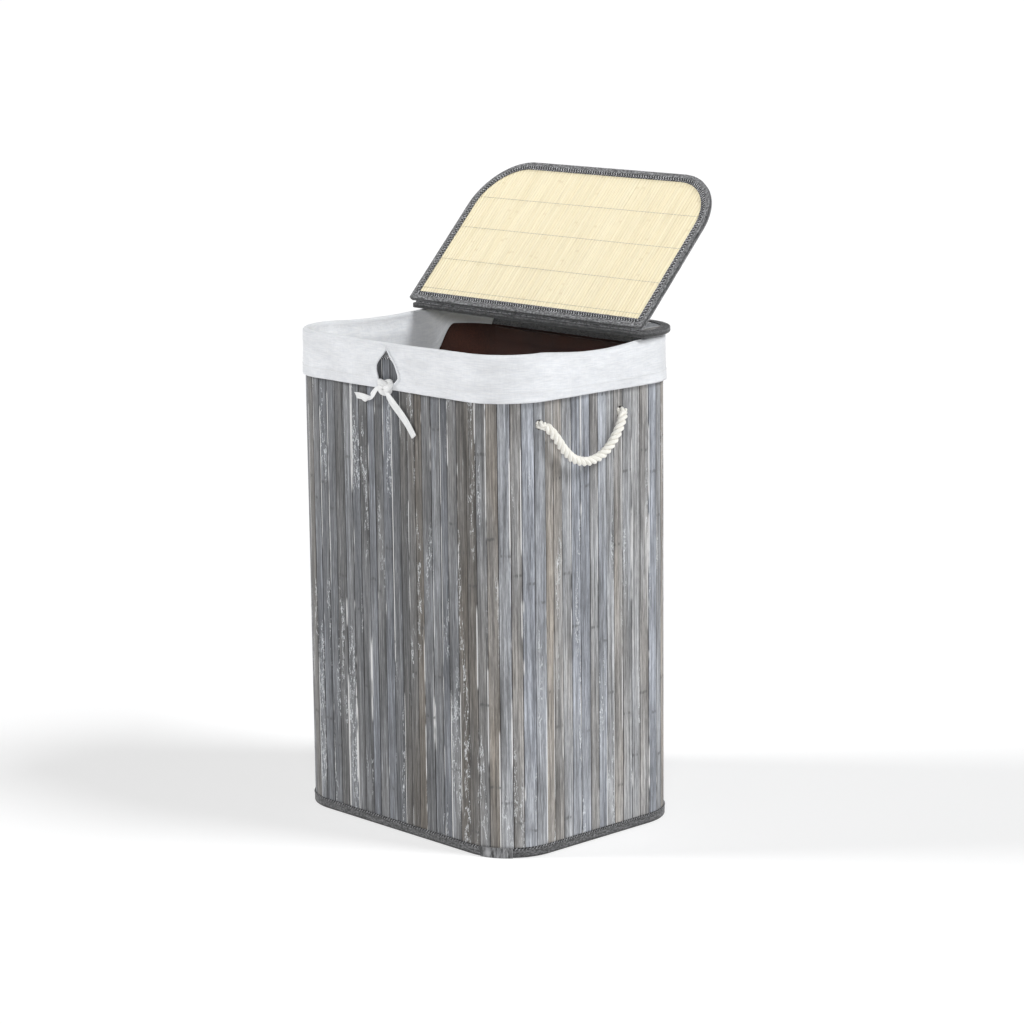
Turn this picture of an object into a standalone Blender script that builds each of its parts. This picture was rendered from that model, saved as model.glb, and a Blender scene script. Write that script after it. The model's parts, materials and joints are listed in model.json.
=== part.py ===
"""Laundry hamper: a bamboo slat wall on a base board, a cotton liner with a turned-over cuff,
two rope handles and a two-part bamboo lid. Metres, +Z up, +X right, -Y to the front.

The origin is the centre of the base board's underside, which stands on the floor. The lid's
flap stands open, and the cuff's slit and its tie are at the middle of the front.
"""

import math

import bmesh
import bpy
from mathutils import Matrix, Vector

# Body, measured over the slats
WIDTH = 0.388
DEPTH = 0.297
CORNER_RADIUS = 0.064
WALL_BOTTOM = 0.0012
WALL_TOP = 0.5825
GAP = 0.0003

# Slats: strips of bamboo side by side, glued to a cloth
SLAT_THICKNESS = 0.003
SLATS_FRONT = 18
SLATS_SIDE = 12
SLATS_CORNER = 7
GROOVE_WIDTH = 0.0008
GROOVE_DEPTH = 0.0012
CLOTH = 0.0008
TAPE_WIDTH = 0.012
CORNER_STEPS = 7

# Base board and the cloth that joins it to the back wall
BOARD_THICKNESS = 0.004
BOARD_INSET = 0.0062
BASE_TAPE_HALF_LENGTH = 0.125
BASE_TAPE_WIDTH = 0.025
BASE_TAPE_HEIGHT = 0.020

# Battens that keep the rim straight, inside the wall
BATTEN_THICKNESS = 0.005
BATTEN_BOTTOM = 0.552
BATTEN_TOP = 0.568
BATTEN_END_CLEARANCE = 0.004

# Liner: a bag that hangs inside and a cuff turned over the rim
CUFF_TOP = 0.5915
CUFF_HEM = 0.5366
CUFF_INSIDE_HEM = 0.5375
CUFF_OUT = 0.0015
CUFF_IN = -0.0105
LINER_CLOTH = 0.0012
BAG_SIDE_INSET = 0.020
BAG_FRONT_INSET = 0.011
BAG_RADIUS = 0.052
BAG_BOTTOM = 0.0056
BAG_TOP = 0.5368
FASTENER_THICKNESS = 0.002
FASTENER_BOTTOM = 0.505
FASTENER_TOP = 0.530
FASTENER_HALF_LENGTH = 0.12

# Slit in the cuff, and the tie that closes it
SLIT_APEX = 0.5845
SLIT_WIDEST = 0.562
SLIT_HALF_WIDTH = 0.0185
SLIT_FOOT = 0.545
SLIT_FOOT_HALF_WIDTH = 0.003
KNOT_HALF_SIZE = (0.012, 0.005, 0.008)
KNOT_HEIGHT = 0.5405
TAIL_WIDTH = 0.0085
TAIL_THICKNESS = 0.001
LEFT_TAIL = (
    (-0.0125, -0.1572, 0.5370),
    (-0.0220, -0.1560, 0.5285),
    (-0.0320, -0.1545, 0.5238),
    (-0.0440, -0.1528, 0.5224),
    (-0.0570, -0.1514, 0.5232),
)
RIGHT_TAIL = (
    (0.0085, -0.1570, 0.5300),
    (0.0160, -0.1555, 0.5205),
    (0.0245, -0.1535, 0.5115),
    (0.0350, -0.1520, 0.5000),
    (0.0460, -0.1512, 0.4860),
)

# Rope handles: each end passes through the wall to a knot, and the loop swings about the line
# through its two ends, SWING_OUT from the wall
ROPE_DIAMETER = 0.0105
ROPE_HOLE_RADIUS = 0.006
HANDLE_Y = -0.0275
HANDLE_Z = 0.510
HANDLE_HALF_SPAN = 0.065
SWING_OUT = 0.0058
ROPE_END_PROUD = 0.0002
KNOT_RADIUS = 0.011
KNOT_LENGTH = 0.011
KNOT_CLEARANCE = 0.0008
ROPE_SAMPLES = 6
# Half of the hanging loop, from its exit to its lowest point: distance from the middle along
# the wall, distance out from the wall, and height from the holes
ROPE_HALF_ROUTE = (
    (0.0630, SWING_OUT, 0.0000),
    (0.0585, 0.0102, -0.0060),
    (0.0505, 0.0128, -0.0165),
    (0.0390, 0.0134, -0.0310),
    (0.0225, 0.0130, -0.0440),
    (0.0000, 0.0125, -0.0495),
)

# Lid: a rear strip that stays on the rim, and a flap that opens on a cloth tape between them
LID_OVERHANG = 0.009
LID_RADIUS = 0.0745
LID_UNDERSIDE = 0.5925
LID_THICKNESS = 0.0065
LID_STRIP_DEPTH = 0.090
LID_SPLIT_GAP = 0.001
LID_LAYER = 0.0013
LID_OPEN_ANGLE = math.radians(133.2)
HINGE_TAPE = 0.0006
HINGE_TAPE_WIDTH = 0.014
BACK_TAPE_BOTTOM = 0.560
BACK_TAPE_HALF_LENGTH = 0.122

LID_TOP = LID_UNDERSIDE + LID_THICKNESS
HINGE_Y = DEPTH / 2 + LID_OVERHANG - LID_STRIP_DEPTH
HINGE_Z = LID_TOP + 0.001
FLAP_LENGTH = DEPTH + 2 * LID_OVERHANG - LID_STRIP_DEPTH
WALL_INNER = -(SLAT_THICKNESS + GAP + CLOTH)
STRAIGHT_X = WIDTH - 2 * CORNER_RADIUS
STRAIGHT_Y = DEPTH - 2 * CORNER_RADIUS


def clear_scene():
    for obj in list(bpy.data.objects):
        bpy.data.objects.remove(obj, do_unlink=True)


def material(name, colour, roughness, metallic=0.0):
    made = bpy.data.materials.new(name)
    made.use_nodes = True
    shader = made.node_tree.nodes["Principled BSDF"]
    shader.inputs["Base Color"].default_value = (*colour, 1.0)
    shader.inputs["Roughness"].default_value = roughness
    shader.inputs["Metallic"].default_value = metallic
    made.diffuse_color = (*colour, 1.0)
    return made


def add_object(name, mesh_builder, mat, parent=None):
    """A new object from a bmesh, with its faces turned outwards."""
    bmesh.ops.recalc_face_normals(mesh_builder, faces=mesh_builder.faces[:])
    mesh = bpy.data.meshes.new(name)
    mesh_builder.to_mesh(mesh)
    mesh_builder.free()
    mesh.materials.append(mat)
    obj = bpy.data.objects.new(name, mesh)
    bpy.context.scene.collection.objects.link(obj)
    obj.parent = parent
    return obj


def smooth(obj, degrees=40):
    obj.data.shade_smooth()
    obj.data.set_sharp_from_angle(angle=math.radians(degrees))


def empty_at(name, place):
    obj = bpy.data.objects.new(name, None)
    obj.location = place
    obj.empty_display_size = 0.03
    bpy.context.scene.collection.objects.link(obj)
    return obj


def prism(name, outline, low, high, mat, parent=None):
    """An upright solid with one outline from bottom to top."""
    bm = bmesh.new()
    bottom = [bm.verts.new((x, y, low)) for x, y in outline]
    top = [bm.verts.new((x, y, high)) for x, y in outline]
    bm.faces.new(bottom)
    bm.faces.new(top)
    for i in range(len(outline)):
        j = (i + 1) % len(outline)
        bm.faces.new((bottom[i], bottom[j], top[j], top[i]))
    return add_object(name, bm, mat, parent)


def box(name, low, high, mat, parent=None):
    outline = [(low[0], low[1]), (high[0], low[1]), (high[0], high[1]), (low[0], high[1])]
    return prism(name, outline, low[2], high[2], mat, parent)


def arc(centre, radius, start, end, steps):
    """Stations round an arc: a point and the direction that an outward offset takes there."""
    stations = []
    for k in range(steps + 1):
        angle = math.radians(start + (end - start) * k / steps)
        out = Vector((math.cos(angle), math.sin(angle)))
        stations.append((Vector(centre) + radius * out, out))
    return stations


def rounded_path(width, depth, radius, steps=CORNER_STEPS):
    """Stations round a rounded rectangle, anticlockwise from its right side."""
    x = width / 2 - radius
    y = depth / 2 - radius
    path = []
    for centre, start in (((x, y), 0), ((-x, y), 90), ((-x, -y), 180), ((x, -y), 270)):
        path += arc(centre, radius, start, start + 90, steps)
    return path


def sweep(name, path, section, mat, closed=True, parent=None):
    """A solid whose section, in outward offset and height, follows a path of stations."""
    bm = bmesh.new()
    rings = []
    for point, out in path:
        ring = []
        for offset, z in section:
            place = point + offset * out
            ring.append(bm.verts.new((place.x, place.y, z)))
        rings.append(ring)
    count = len(rings)
    for i in range(count if closed else count - 1):
        here = rings[i]
        there = rings[(i + 1) % count]
        for j in range(len(section)):
            k = (j + 1) % len(section)
            bm.faces.new((here[j], there[j], there[k], here[k]))
    if not closed:
        bm.faces.new(rings[0])
        bm.faces.new(rings[-1])
    return add_object(name, bm, mat, parent)


def offset_outline(path, offset):
    return [tuple(point + offset * out) for point, out in path]


def turned(name, profile, mat, steps=16):
    """A solid turned about the X axis, on which its profile's two ends lie."""
    bm = bmesh.new()
    rings = []
    for radius, x in profile[1:-1]:
        ring = []
        for k in range(steps):
            angle = 2 * math.pi * k / steps
            ring.append(bm.verts.new((x, radius * math.cos(angle), radius * math.sin(angle))))
        rings.append(ring)
    tips = [bm.verts.new((profile[0][1], 0, 0)), bm.verts.new((profile[-1][1], 0, 0))]
    for here, there in zip(rings, rings[1:]):
        for k in range(steps):
            j = (k + 1) % steps
            bm.faces.new((here[k], here[j], there[j], there[k]))
    for tip, ring in zip(tips, (rings[0], rings[-1])):
        for k in range(steps):
            bm.faces.new((tip, ring[k], ring[(k + 1) % steps]))
    obj = add_object(name, bm, mat)
    smooth(obj)
    return obj


def cut(target, cutter):
    cutter.hide_render = True
    cutter.display_type = "WIRE"
    step = target.modifiers.new("cut_" + cutter.name, "BOOLEAN")
    step.operation = "DIFFERENCE"
    step.solver = "EXACT"
    step.object = cutter


def slat_panel(name, length, count, turn, reach, mat):
    """A flat wall panel: slats side by side with a groove at each joint. turn is the angle of
    its outward direction, and reach is its outer face's distance from the centre."""
    slat = length / count
    outline = []
    for k in range(count):
        start = -length / 2 + k * slat
        if k > 0:
            outline.append((0.0 - GROOVE_DEPTH, start))
        outline.append((0.0, start + GROOVE_WIDTH / 2))
        outline.append((0.0, start + slat - GROOVE_WIDTH / 2))
    outline.append((-SLAT_THICKNESS, length / 2 - GROOVE_WIDTH / 2))
    outline.append((-SLAT_THICKNESS, -length / 2 + GROOVE_WIDTH / 2))
    spin = Matrix.Rotation(math.radians(turn), 2)
    placed = [tuple(spin @ Vector((reach + out, along))) for out, along in outline]
    return prism(name, placed, WALL_BOTTOM, WALL_TOP, mat)


def slat_corner(name, centre, start, mat):
    """A rounded corner of the wall: flat slats set round an arc."""
    step = math.radians(90) / SLATS_CORNER
    half_groove = GROOVE_WIDTH / 2 / CORNER_RADIUS
    first = math.radians(start)
    outer = []
    inner = []
    for k in range(SLATS_CORNER + 1):
        angle = first + k * step
        trim = half_groove * ((k == 0) - (k == SLATS_CORNER))
        if 0 < k < SLATS_CORNER:
            outer.append((angle - half_groove, CORNER_RADIUS))
            outer.append((angle, CORNER_RADIUS - GROOVE_DEPTH))
            outer.append((angle + half_groove, CORNER_RADIUS))
        else:
            outer.append((angle + trim, CORNER_RADIUS))
        inner.append((angle + trim, CORNER_RADIUS - SLAT_THICKNESS))
    outline = []
    for angle, radius in outer + inner[::-1]:
        outline.append((centre[0] + radius * math.cos(angle), centre[1] + radius * math.sin(angle)))
    return prism(name, outline, WALL_BOTTOM, WALL_TOP, mat)


def build_walls(slat_mat):
    half_x = WIDTH / 2
    half_y = DEPTH / 2
    walls = {
        "front": slat_panel("wall_front", STRAIGHT_X, SLATS_FRONT, 270, half_y, slat_mat),
        "back": slat_panel("wall_back", STRAIGHT_X, SLATS_FRONT, 90, half_y, slat_mat),
        "left": slat_panel("wall_left", STRAIGHT_Y, SLATS_SIDE, 180, half_x, slat_mat),
        "right": slat_panel("wall_right", STRAIGHT_Y, SLATS_SIDE, 0, half_x, slat_mat),
    }
    x = STRAIGHT_X / 2
    y = STRAIGHT_Y / 2
    corners = (
        ("corner_back_right", (x, y), 0),
        ("corner_back_left", (-x, y), 90),
        ("corner_front_left", (-x, -y), 180),
        ("corner_front_right", (x, -y), 270),
    )
    for name, centre, start in corners:
        walls[name] = slat_corner(name, centre, start, slat_mat)
    return walls


def build_wall_cloth(path, backing_mat, tape_mat):
    """The cloth that holds the slats together, and the tapes folded over the wall's edges."""
    inner = -(SLAT_THICKNESS + GAP)
    low = WALL_BOTTOM + GAP
    high = WALL_TOP - GAP
    section = ((inner, low), (inner, high), (inner - CLOTH, high), (inner - CLOTH, low))
    backing = sweep("wall_backing", path, section, backing_mat)
    outside = GAP + CLOTH
    inside = WALL_INNER - GAP - CLOTH
    top = WALL_TOP + GAP
    foot = WALL_TOP - TAPE_WIDTH
    section = (
        (GAP, foot),
        (outside, foot),
        (outside, top + CLOTH),
        (inside, top + CLOTH),
        (inside, foot),
        (inside + CLOTH, foot),
        (inside + CLOTH, top),
        (GAP, top),
    )
    sweep("top_binding", path, section, tape_mat)
    floor = WALL_BOTTOM - GAP - CLOTH
    head = floor + TAPE_WIDTH
    section = (
        (GAP, head),
        (outside, head),
        (outside, floor),
        (inside, floor),
        (inside, head),
        (inside + CLOTH, head),
        (inside + CLOTH, floor + CLOTH),
        (GAP, floor + CLOTH),
    )
    sweep("bottom_binding", path, section, tape_mat)
    return backing


def build_base(path, board_mat, tape_mat):
    prism("base_board", offset_outline(path, -BOARD_INSET), 0.0, BOARD_THICKNESS, board_mat)
    back = DEPTH / 2 - BOARD_INSET + 0.0005
    low = BOARD_THICKNESS + GAP
    bm = bmesh.new()
    profile = (
        (back - BASE_TAPE_WIDTH, low),
        (back, low),
        (back, low + BASE_TAPE_HEIGHT),
        (back - CLOTH, low + BASE_TAPE_HEIGHT),
        (back - CLOTH, low + CLOTH),
        (back - BASE_TAPE_WIDTH, low + CLOTH),
    )
    ends = []
    for x in (-BASE_TAPE_HALF_LENGTH, BASE_TAPE_HALF_LENGTH):
        ends.append([bm.verts.new((x, y, z)) for y, z in profile])
        bm.faces.new(ends[-1])
    for i in range(len(profile)):
        j = (i + 1) % len(profile)
        bm.faces.new((ends[0][i], ends[0][j], ends[1][j], ends[1][i]))
    add_object("base_hinge_tape", bm, tape_mat)


def build_rim_battens(batten_mat):
    near = WALL_INNER - GAP
    far = near - BATTEN_THICKNESS
    x = STRAIGHT_X / 2 - BATTEN_END_CLEARANCE
    y = STRAIGHT_Y / 2 - BATTEN_END_CLEARANCE
    low = BATTEN_BOTTOM
    high = BATTEN_TOP
    half_x = WIDTH / 2
    half_y = DEPTH / 2
    box("rim_batten_front", (-x, -half_y - near, low), (x, -half_y - far, high), batten_mat)
    box("rim_batten_back", (-x, half_y + far, low), (x, half_y + near, high), batten_mat)
    box("rim_batten_left", (-half_x - near, -y, low), (-half_x - far, y, high), batten_mat)
    box("rim_batten_right", (half_x + far, -y, low), (half_x + near, y, high), batten_mat)


def build_bag(cotton_mat):
    """The liner's bag: a cup of cloth with an open top."""
    outer = rounded_path(WIDTH - 2 * BAG_SIDE_INSET, DEPTH - 2 * BAG_FRONT_INSET, BAG_RADIUS)
    bm = bmesh.new()
    rings = []
    levels = (
        (0.0, BAG_BOTTOM),
        (0.0, BAG_TOP),
        (-LINER_CLOTH, BAG_TOP),
        (-LINER_CLOTH, BAG_BOTTOM + LINER_CLOTH),
    )
    for offset, z in levels:
        rings.append([bm.verts.new((x, y, z)) for x, y in offset_outline(outer, offset)])
    for here, there in zip(rings, rings[1:]):
        for i in range(len(here)):
            j = (i + 1) % len(here)
            bm.faces.new((here[i], here[j], there[j], there[i]))
    bm.faces.new(rings[0])
    bm.faces.new(rings[-1])
    obj = add_object("liner_bag", bm, cotton_mat)
    smooth(obj)


def build_cuff(cotton_mat):
    """The turned-over top of the liner: over the front, both sides and the back corners."""
    path = rounded_path(WIDTH, DEPTH, CORNER_RADIUS)
    per_corner = CORNER_STEPS + 1
    route = path[per_corner:] + path[:per_corner]
    section = (
        (CUFF_OUT, CUFF_HEM),
        (CUFF_OUT + LINER_CLOTH, CUFF_HEM),
        (CUFF_OUT + LINER_CLOTH, CUFF_TOP),
        (CUFF_IN - LINER_CLOTH, CUFF_TOP),
        (CUFF_IN - LINER_CLOTH, CUFF_INSIDE_HEM),
        (CUFF_IN, CUFF_INSIDE_HEM),
        (CUFF_IN, CUFF_TOP - LINER_CLOTH),
        (CUFF_OUT, CUFF_TOP - LINER_CLOTH),
    )
    cuff = sweep("liner_cuff", route, section, cotton_mat, closed=False)
    shape = (
        (0.0, SLIT_APEX),
        (-SLIT_HALF_WIDTH * 0.6, SLIT_APEX - 0.008),
        (-SLIT_HALF_WIDTH, SLIT_WIDEST),
        (-SLIT_FOOT_HALF_WIDTH, SLIT_FOOT),
        (-SLIT_FOOT_HALF_WIDTH, CUFF_HEM - 0.01),
        (SLIT_FOOT_HALF_WIDTH, CUFF_HEM - 0.01),
        (SLIT_FOOT_HALF_WIDTH, SLIT_FOOT),
        (SLIT_HALF_WIDTH, SLIT_WIDEST),
        (SLIT_HALF_WIDTH * 0.6, SLIT_APEX - 0.008),
    )
    bm = bmesh.new()
    ends = []
    for y in (-DEPTH / 2 - 0.02, -DEPTH / 2 - CUFF_OUT / 2):
        ends.append([bm.verts.new((x, y, z)) for x, z in shape])
        bm.faces.new(ends[-1])
    for i in range(len(shape)):
        j = (i + 1) % len(shape)
        bm.faces.new((ends[0][i], ends[0][j], ends[1][j], ends[1][i]))
    cut(cuff, add_object("slit_cutter", bm, cotton_mat))


def build_liner_fastener(tape_mat):
    back = DEPTH / 2 + WALL_INNER - GAP
    low = (-FASTENER_HALF_LENGTH, back - FASTENER_THICKNESS, FASTENER_BOTTOM)
    box("liner_fastener", low, (FASTENER_HALF_LENGTH, back, FASTENER_TOP), tape_mat)


def flat_tape(name, route, mat):
    """A flat tape along a route near the front wall, its width square to the route."""
    bm = bmesh.new()
    rings = []
    points = [Vector(p) for p in route]
    for i, point in enumerate(points):
        ahead = points[min(i + 1, len(points) - 1)] - points[max(i - 1, 0)]
        across = Vector((-ahead.z, 0, ahead.x)).normalized() * TAIL_WIDTH / 2
        through = Vector((0, TAIL_THICKNESS / 2, 0))
        corners = (across + through, across - through, -across - through, through - across)
        rings.append([bm.verts.new(point + corner) for corner in corners])
    for here, there in zip(rings, rings[1:]):
        for j in range(4):
            k = (j + 1) % 4
            bm.faces.new((here[j], there[j], there[k], here[k]))
    bm.faces.new(rings[0])
    bm.faces.new(rings[-1])
    add_object(name, bm, mat)


def build_tie(cotton_mat):
    bm = bmesh.new()
    bmesh.ops.create_uvsphere(bm, u_segments=16, v_segments=8, radius=1.0)
    bmesh.ops.scale(bm, vec=KNOT_HALF_SIZE, verts=bm.verts[:])
    knot = add_object("tie_knot", bm, cotton_mat)
    cuff_face = DEPTH / 2 + CUFF_OUT + LINER_CLOTH
    knot.location = (0.0006, -cuff_face - GAP - KNOT_HALF_SIZE[1], KNOT_HEIGHT)
    smooth(knot)
    flat_tape("tie_tail_left", LEFT_TAIL, cotton_mat)
    flat_tape("tie_tail_right", RIGHT_TAIL, cotton_mat)


def smooth_route(points, samples):
    """Points along a Catmull-Rom curve through the given ones."""
    padded = [2 * points[0] - points[1], *points, 2 * points[-1] - points[-2]]
    route = []
    for a, b, c, d in zip(padded, padded[1:], padded[2:], padded[3:]):
        for k in range(samples):
            t = k / samples
            straight = 2 * b + (c - a) * t
            bend = (2 * a - 5 * b + 4 * c - d) * t**2
            twist = (3 * b - a - 3 * c + d) * t**3
            route.append((straight + bend + twist) / 2)
    route.append(points[-1])
    return route


def rope_loop(name, side, mat):
    """A hanging loop of rope. side is 1 on the right and -1 on the left."""
    half = [Vector((side * (out - SWING_OUT), -along, z)) for along, out, z in ROPE_HALF_ROUTE]
    other = [Vector((p.x, -p.y, p.z)) for p in reversed(half[:-1])]
    route = smooth_route(half + other, ROPE_SAMPLES)[::2]
    curve = bpy.data.curves.new(name, "CURVE")
    curve.dimensions = "3D"
    curve.bevel_depth = ROPE_DIAMETER / 2
    curve.bevel_resolution = 2
    curve.use_fill_caps = True
    spline = curve.splines.new("POLY")
    spline.points.add(len(route) - 1)
    for place, point in zip(route, spline.points):
        point.co = (*place, 1.0)
    curve.materials.append(mat)
    obj = bpy.data.objects.new(name, curve)
    bpy.context.scene.collection.objects.link(obj)
    obj.parent = empty_at(name + "_swing", (side * (WIDTH / 2 + SWING_OUT), HANDLE_Y, HANDLE_Z))


def wall_point(side, y):
    """The point of a side wall's outer face at y, and the angle of its outward direction."""
    beyond = abs(y) - STRAIGHT_Y / 2
    if beyond <= 0:
        return Vector((side * WIDTH / 2, y, HANDLE_Z)), 90 - 90 * side
    tilt = math.asin(beyond / CORNER_RADIUS)
    x = STRAIGHT_X / 2 + CORNER_RADIUS * math.cos(tilt)
    turn = math.degrees(math.copysign(tilt, y))
    return Vector((side * x, y, HANDLE_Z)), turn if side > 0 else 180 - turn


def rope_knot(name, place, turn, mat):
    """The rope's end: a straight stretch through the wall, and the knot behind it."""
    r = ROPE_DIAMETER / 2
    near = WALL_INNER - GAP
    face = near - KNOT_CLEARANCE
    far = face - KNOT_LENGTH
    profile = (
        (0.0, ROPE_END_PROUD),
        (r, ROPE_END_PROUD),
        (r, face),
        (KNOT_RADIUS * 0.8, face - 0.0006),
        (KNOT_RADIUS, (face + far) / 2),
        (KNOT_RADIUS * 0.8, far + 0.0012),
        (r * 0.6, far + 0.0002),
        (0.0, far),
    )
    obj = turned(name, profile, mat)
    obj.location = place
    obj.rotation_euler.z = math.radians(turn)


def rope_hole_cutter(name, place, turn, mat):
    bm = bmesh.new()
    bmesh.ops.create_cone(
        bm,
        cap_ends=True,
        segments=16,
        radius1=ROPE_HOLE_RADIUS,
        radius2=ROPE_HOLE_RADIUS,
        depth=0.03,
        matrix=Matrix.Rotation(math.radians(90), 4, "Y"),
    )
    cutter = add_object(name, bm, mat)
    cutter.location = place
    cutter.rotation_euler.z = math.radians(turn)
    return cutter


def build_rope_handles(walls, backing, rope_mat):
    for side, word in ((1, "right"), (-1, "left")):
        rope_loop("rope_handle_" + word, side, rope_mat)
        for end, name in ((-1, "front"), (1, "back")):
            place, turn = wall_point(side, HANDLE_Y + end * HANDLE_HALF_SPAN)
            rope_knot(f"rope_knot_{word}_{name}", place, turn, rope_mat)
            cutter = rope_hole_cutter(f"hole_{word}_{name}", place, turn, rope_mat)
            cut(walls["corner_front_" + word] if end < 0 else walls[word], cutter)
            cut(backing, cutter)


def lid_path(hinge_side, free_side):
    """Stations round one part of the lid, whose two corners away from the hinge are rounded.
    free_side is the Y of its free edge, and hinge_side that of its edge at the hinge."""
    x = WIDTH / 2 + LID_OVERHANG
    sign = 1 if free_side > hinge_side else -1
    centre_y = free_side - sign * LID_RADIUS
    right = arc((x - LID_RADIUS, centre_y), LID_RADIUS, 0, 90 * sign, CORNER_STEPS)
    left = arc((LID_RADIUS - x, centre_y), LID_RADIUS, 90 * sign, 180 * sign, CORNER_STEPS)
    corner_left = (Vector((-x, hinge_side)), Vector((-1, -sign)))
    corner_right = (Vector((x, hinge_side)), Vector((1, -sign)))
    return [*right, *left, corner_left, corner_right]


def build_lid_part(prefix, path, base_z, mats, parent=None):
    """A lid part: outer slats, a stiffening board and an inner blind, held by a folded tape."""
    tape = CLOTH - 0.0001
    top = base_z + LID_THICKNESS
    section = (
        (0.0, base_z),
        (0.0, top),
        (-TAPE_WIDTH, top),
        (-TAPE_WIDTH, top - tape),
        (-tape, top - tape),
        (-tape, base_z + tape),
        (-TAPE_WIDTH, base_z + tape),
        (-TAPE_WIDTH, base_z),
    )
    sweep(prefix + "_binding", path, section, mats["tape"], parent=parent)
    outline = offset_outline(path, -tape - GAP)
    low = base_z + tape + GAP
    for name, key in (("_lining", "natural"), ("_board", "board"), ("_slats", "slats")):
        prism(prefix + name, outline, low, low + LID_LAYER, mats[key], parent)
        low += LID_LAYER + GAP


def build_lid(mats):
    rear = lid_path(HINGE_Y + LID_SPLIT_GAP, DEPTH / 2 + LID_OVERHANG)
    build_lid_part("lid_strip", rear, LID_UNDERSIDE, mats)
    x = WIDTH / 2 + LID_OVERHANG - TAPE_WIDTH
    low = LID_TOP + GAP
    front = HINGE_Y + LID_SPLIT_GAP
    back = front + HINGE_TAPE_WIDTH
    box("lid_hinge_tape", (-x, front, low), (x, back, low + HINGE_TAPE), mats["tape"])
    face = DEPTH / 2 + 2 * GAP + CLOTH
    high = LID_UNDERSIDE - GAP
    x = BACK_TAPE_HALF_LENGTH
    box("lid_back_tape", (-x, face, BACK_TAPE_BOTTOM), (x, face + CLOTH, high), mats["tape"])
    hinge = empty_at("lid_hinge_axis", (0, HINGE_Y, HINGE_Z))
    hinge.rotation_euler = (-LID_OPEN_ANGLE, 0, 0)
    flap = lid_path(-LID_SPLIT_GAP, -FLAP_LENGTH)
    build_lid_part("lid_flap", flap, LID_UNDERSIDE - HINGE_Z, mats, hinge)


def main():
    clear_scene()
    mats = {
        "slats": material("grey_bamboo", (0.20, 0.19, 0.19), 0.6),
        "natural": material("natural_bamboo", (0.86, 0.78, 0.55), 0.5),
        "board": material("fibre_board", (0.42, 0.30, 0.19), 0.8),
        "tape": material("grey_tape", (0.10, 0.10, 0.11), 0.85),
        "cotton": material("cotton", (0.85, 0.86, 0.86), 0.9),
        "rope": material("cotton_rope", (0.83, 0.80, 0.72), 0.9),
        "backing": material("dark_backing", (0.03, 0.022, 0.02), 0.9),
    }
    path = rounded_path(WIDTH, DEPTH, CORNER_RADIUS)
    walls = build_walls(mats["slats"])
    backing = build_wall_cloth(path, mats["backing"], mats["tape"])
    build_base(path, mats["board"], mats["backing"])
    build_rim_battens(mats["natural"])
    build_bag(mats["cotton"])
    build_cuff(mats["cotton"])
    build_liner_fastener(mats["tape"])
    build_tie(mats["cotton"])
    build_rope_handles(walls, backing, mats["rope"])
    build_lid(mats)


main()
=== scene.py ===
"""The looks of the laundry hamper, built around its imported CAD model. Metres, +Z up, -Y to the
front. Every piece is a mesh made here with a procedural material, or a CAD node that keeps its
shape and gets one."""

import json
import math
import random

import bmesh
import bpy
import numpy as np
from mathutils import Matrix, Vector, noise


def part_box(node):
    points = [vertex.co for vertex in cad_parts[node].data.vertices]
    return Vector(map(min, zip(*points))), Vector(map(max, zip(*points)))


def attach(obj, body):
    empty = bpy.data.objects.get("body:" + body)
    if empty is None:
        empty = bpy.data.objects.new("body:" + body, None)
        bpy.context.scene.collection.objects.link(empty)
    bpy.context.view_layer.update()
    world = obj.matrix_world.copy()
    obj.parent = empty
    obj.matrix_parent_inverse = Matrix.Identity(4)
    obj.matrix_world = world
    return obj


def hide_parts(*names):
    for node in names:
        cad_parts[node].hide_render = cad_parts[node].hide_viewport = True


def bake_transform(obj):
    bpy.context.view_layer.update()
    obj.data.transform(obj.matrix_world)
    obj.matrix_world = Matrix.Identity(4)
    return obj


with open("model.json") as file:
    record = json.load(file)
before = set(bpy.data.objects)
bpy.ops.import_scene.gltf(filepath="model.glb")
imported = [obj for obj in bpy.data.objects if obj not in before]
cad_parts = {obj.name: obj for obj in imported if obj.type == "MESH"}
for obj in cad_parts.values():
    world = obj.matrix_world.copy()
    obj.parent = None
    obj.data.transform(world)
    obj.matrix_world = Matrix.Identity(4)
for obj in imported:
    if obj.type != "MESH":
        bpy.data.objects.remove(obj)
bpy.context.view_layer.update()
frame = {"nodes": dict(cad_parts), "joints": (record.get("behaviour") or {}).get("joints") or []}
chance = random.Random(11)

# Camera: its place, what it looks at, its roll, and its lens in millimetres
CAMERA_PLACE = Vector((2.68932, -2.49238, 1.10785))
CAMERA_TARGET = Vector((0.0484, 0.0, 0.3749))
CAMERA_ROLL = math.radians(-0.6221)
CAMERA_LENS = 108.607

# Wall
HALF_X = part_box("wall_right")[1].x
HALF_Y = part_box("wall_back")[1].y
WALL_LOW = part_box("wall_front")[0].z
WALL_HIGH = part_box("wall_front")[1].z
CORNER_RADIUS = 0.064
SLAT_THICKNESS = 0.003
SLAT_CROWN = 0.00012
SLAT_GAP = (0.0003, 0.0007)
SLATS = {"wall_front": 18, "wall_back": 18, "wall_left": 12, "wall_right": 12}
SLATS_CORNER = 7

# The rings of the cane: how many there are to the metre, and how far a slat's tone shifts them
RINGS_PER_METRE = 3.4
RING_SHIFT = 7.0

# Tapes and their sewing. A tone holds a tape's sewn edges as shares of SEWN_SCALE
TAPE_WIDTH = 0.012
SEWN_SCALE = 0.02
STITCH_PITCH = 0.0034
STITCH_LENGTH = 0.78 * STITCH_PITCH
THREAD_RADIUS = 0.0003
PLAIN = (0.5, 0.5, 0.5)

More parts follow.
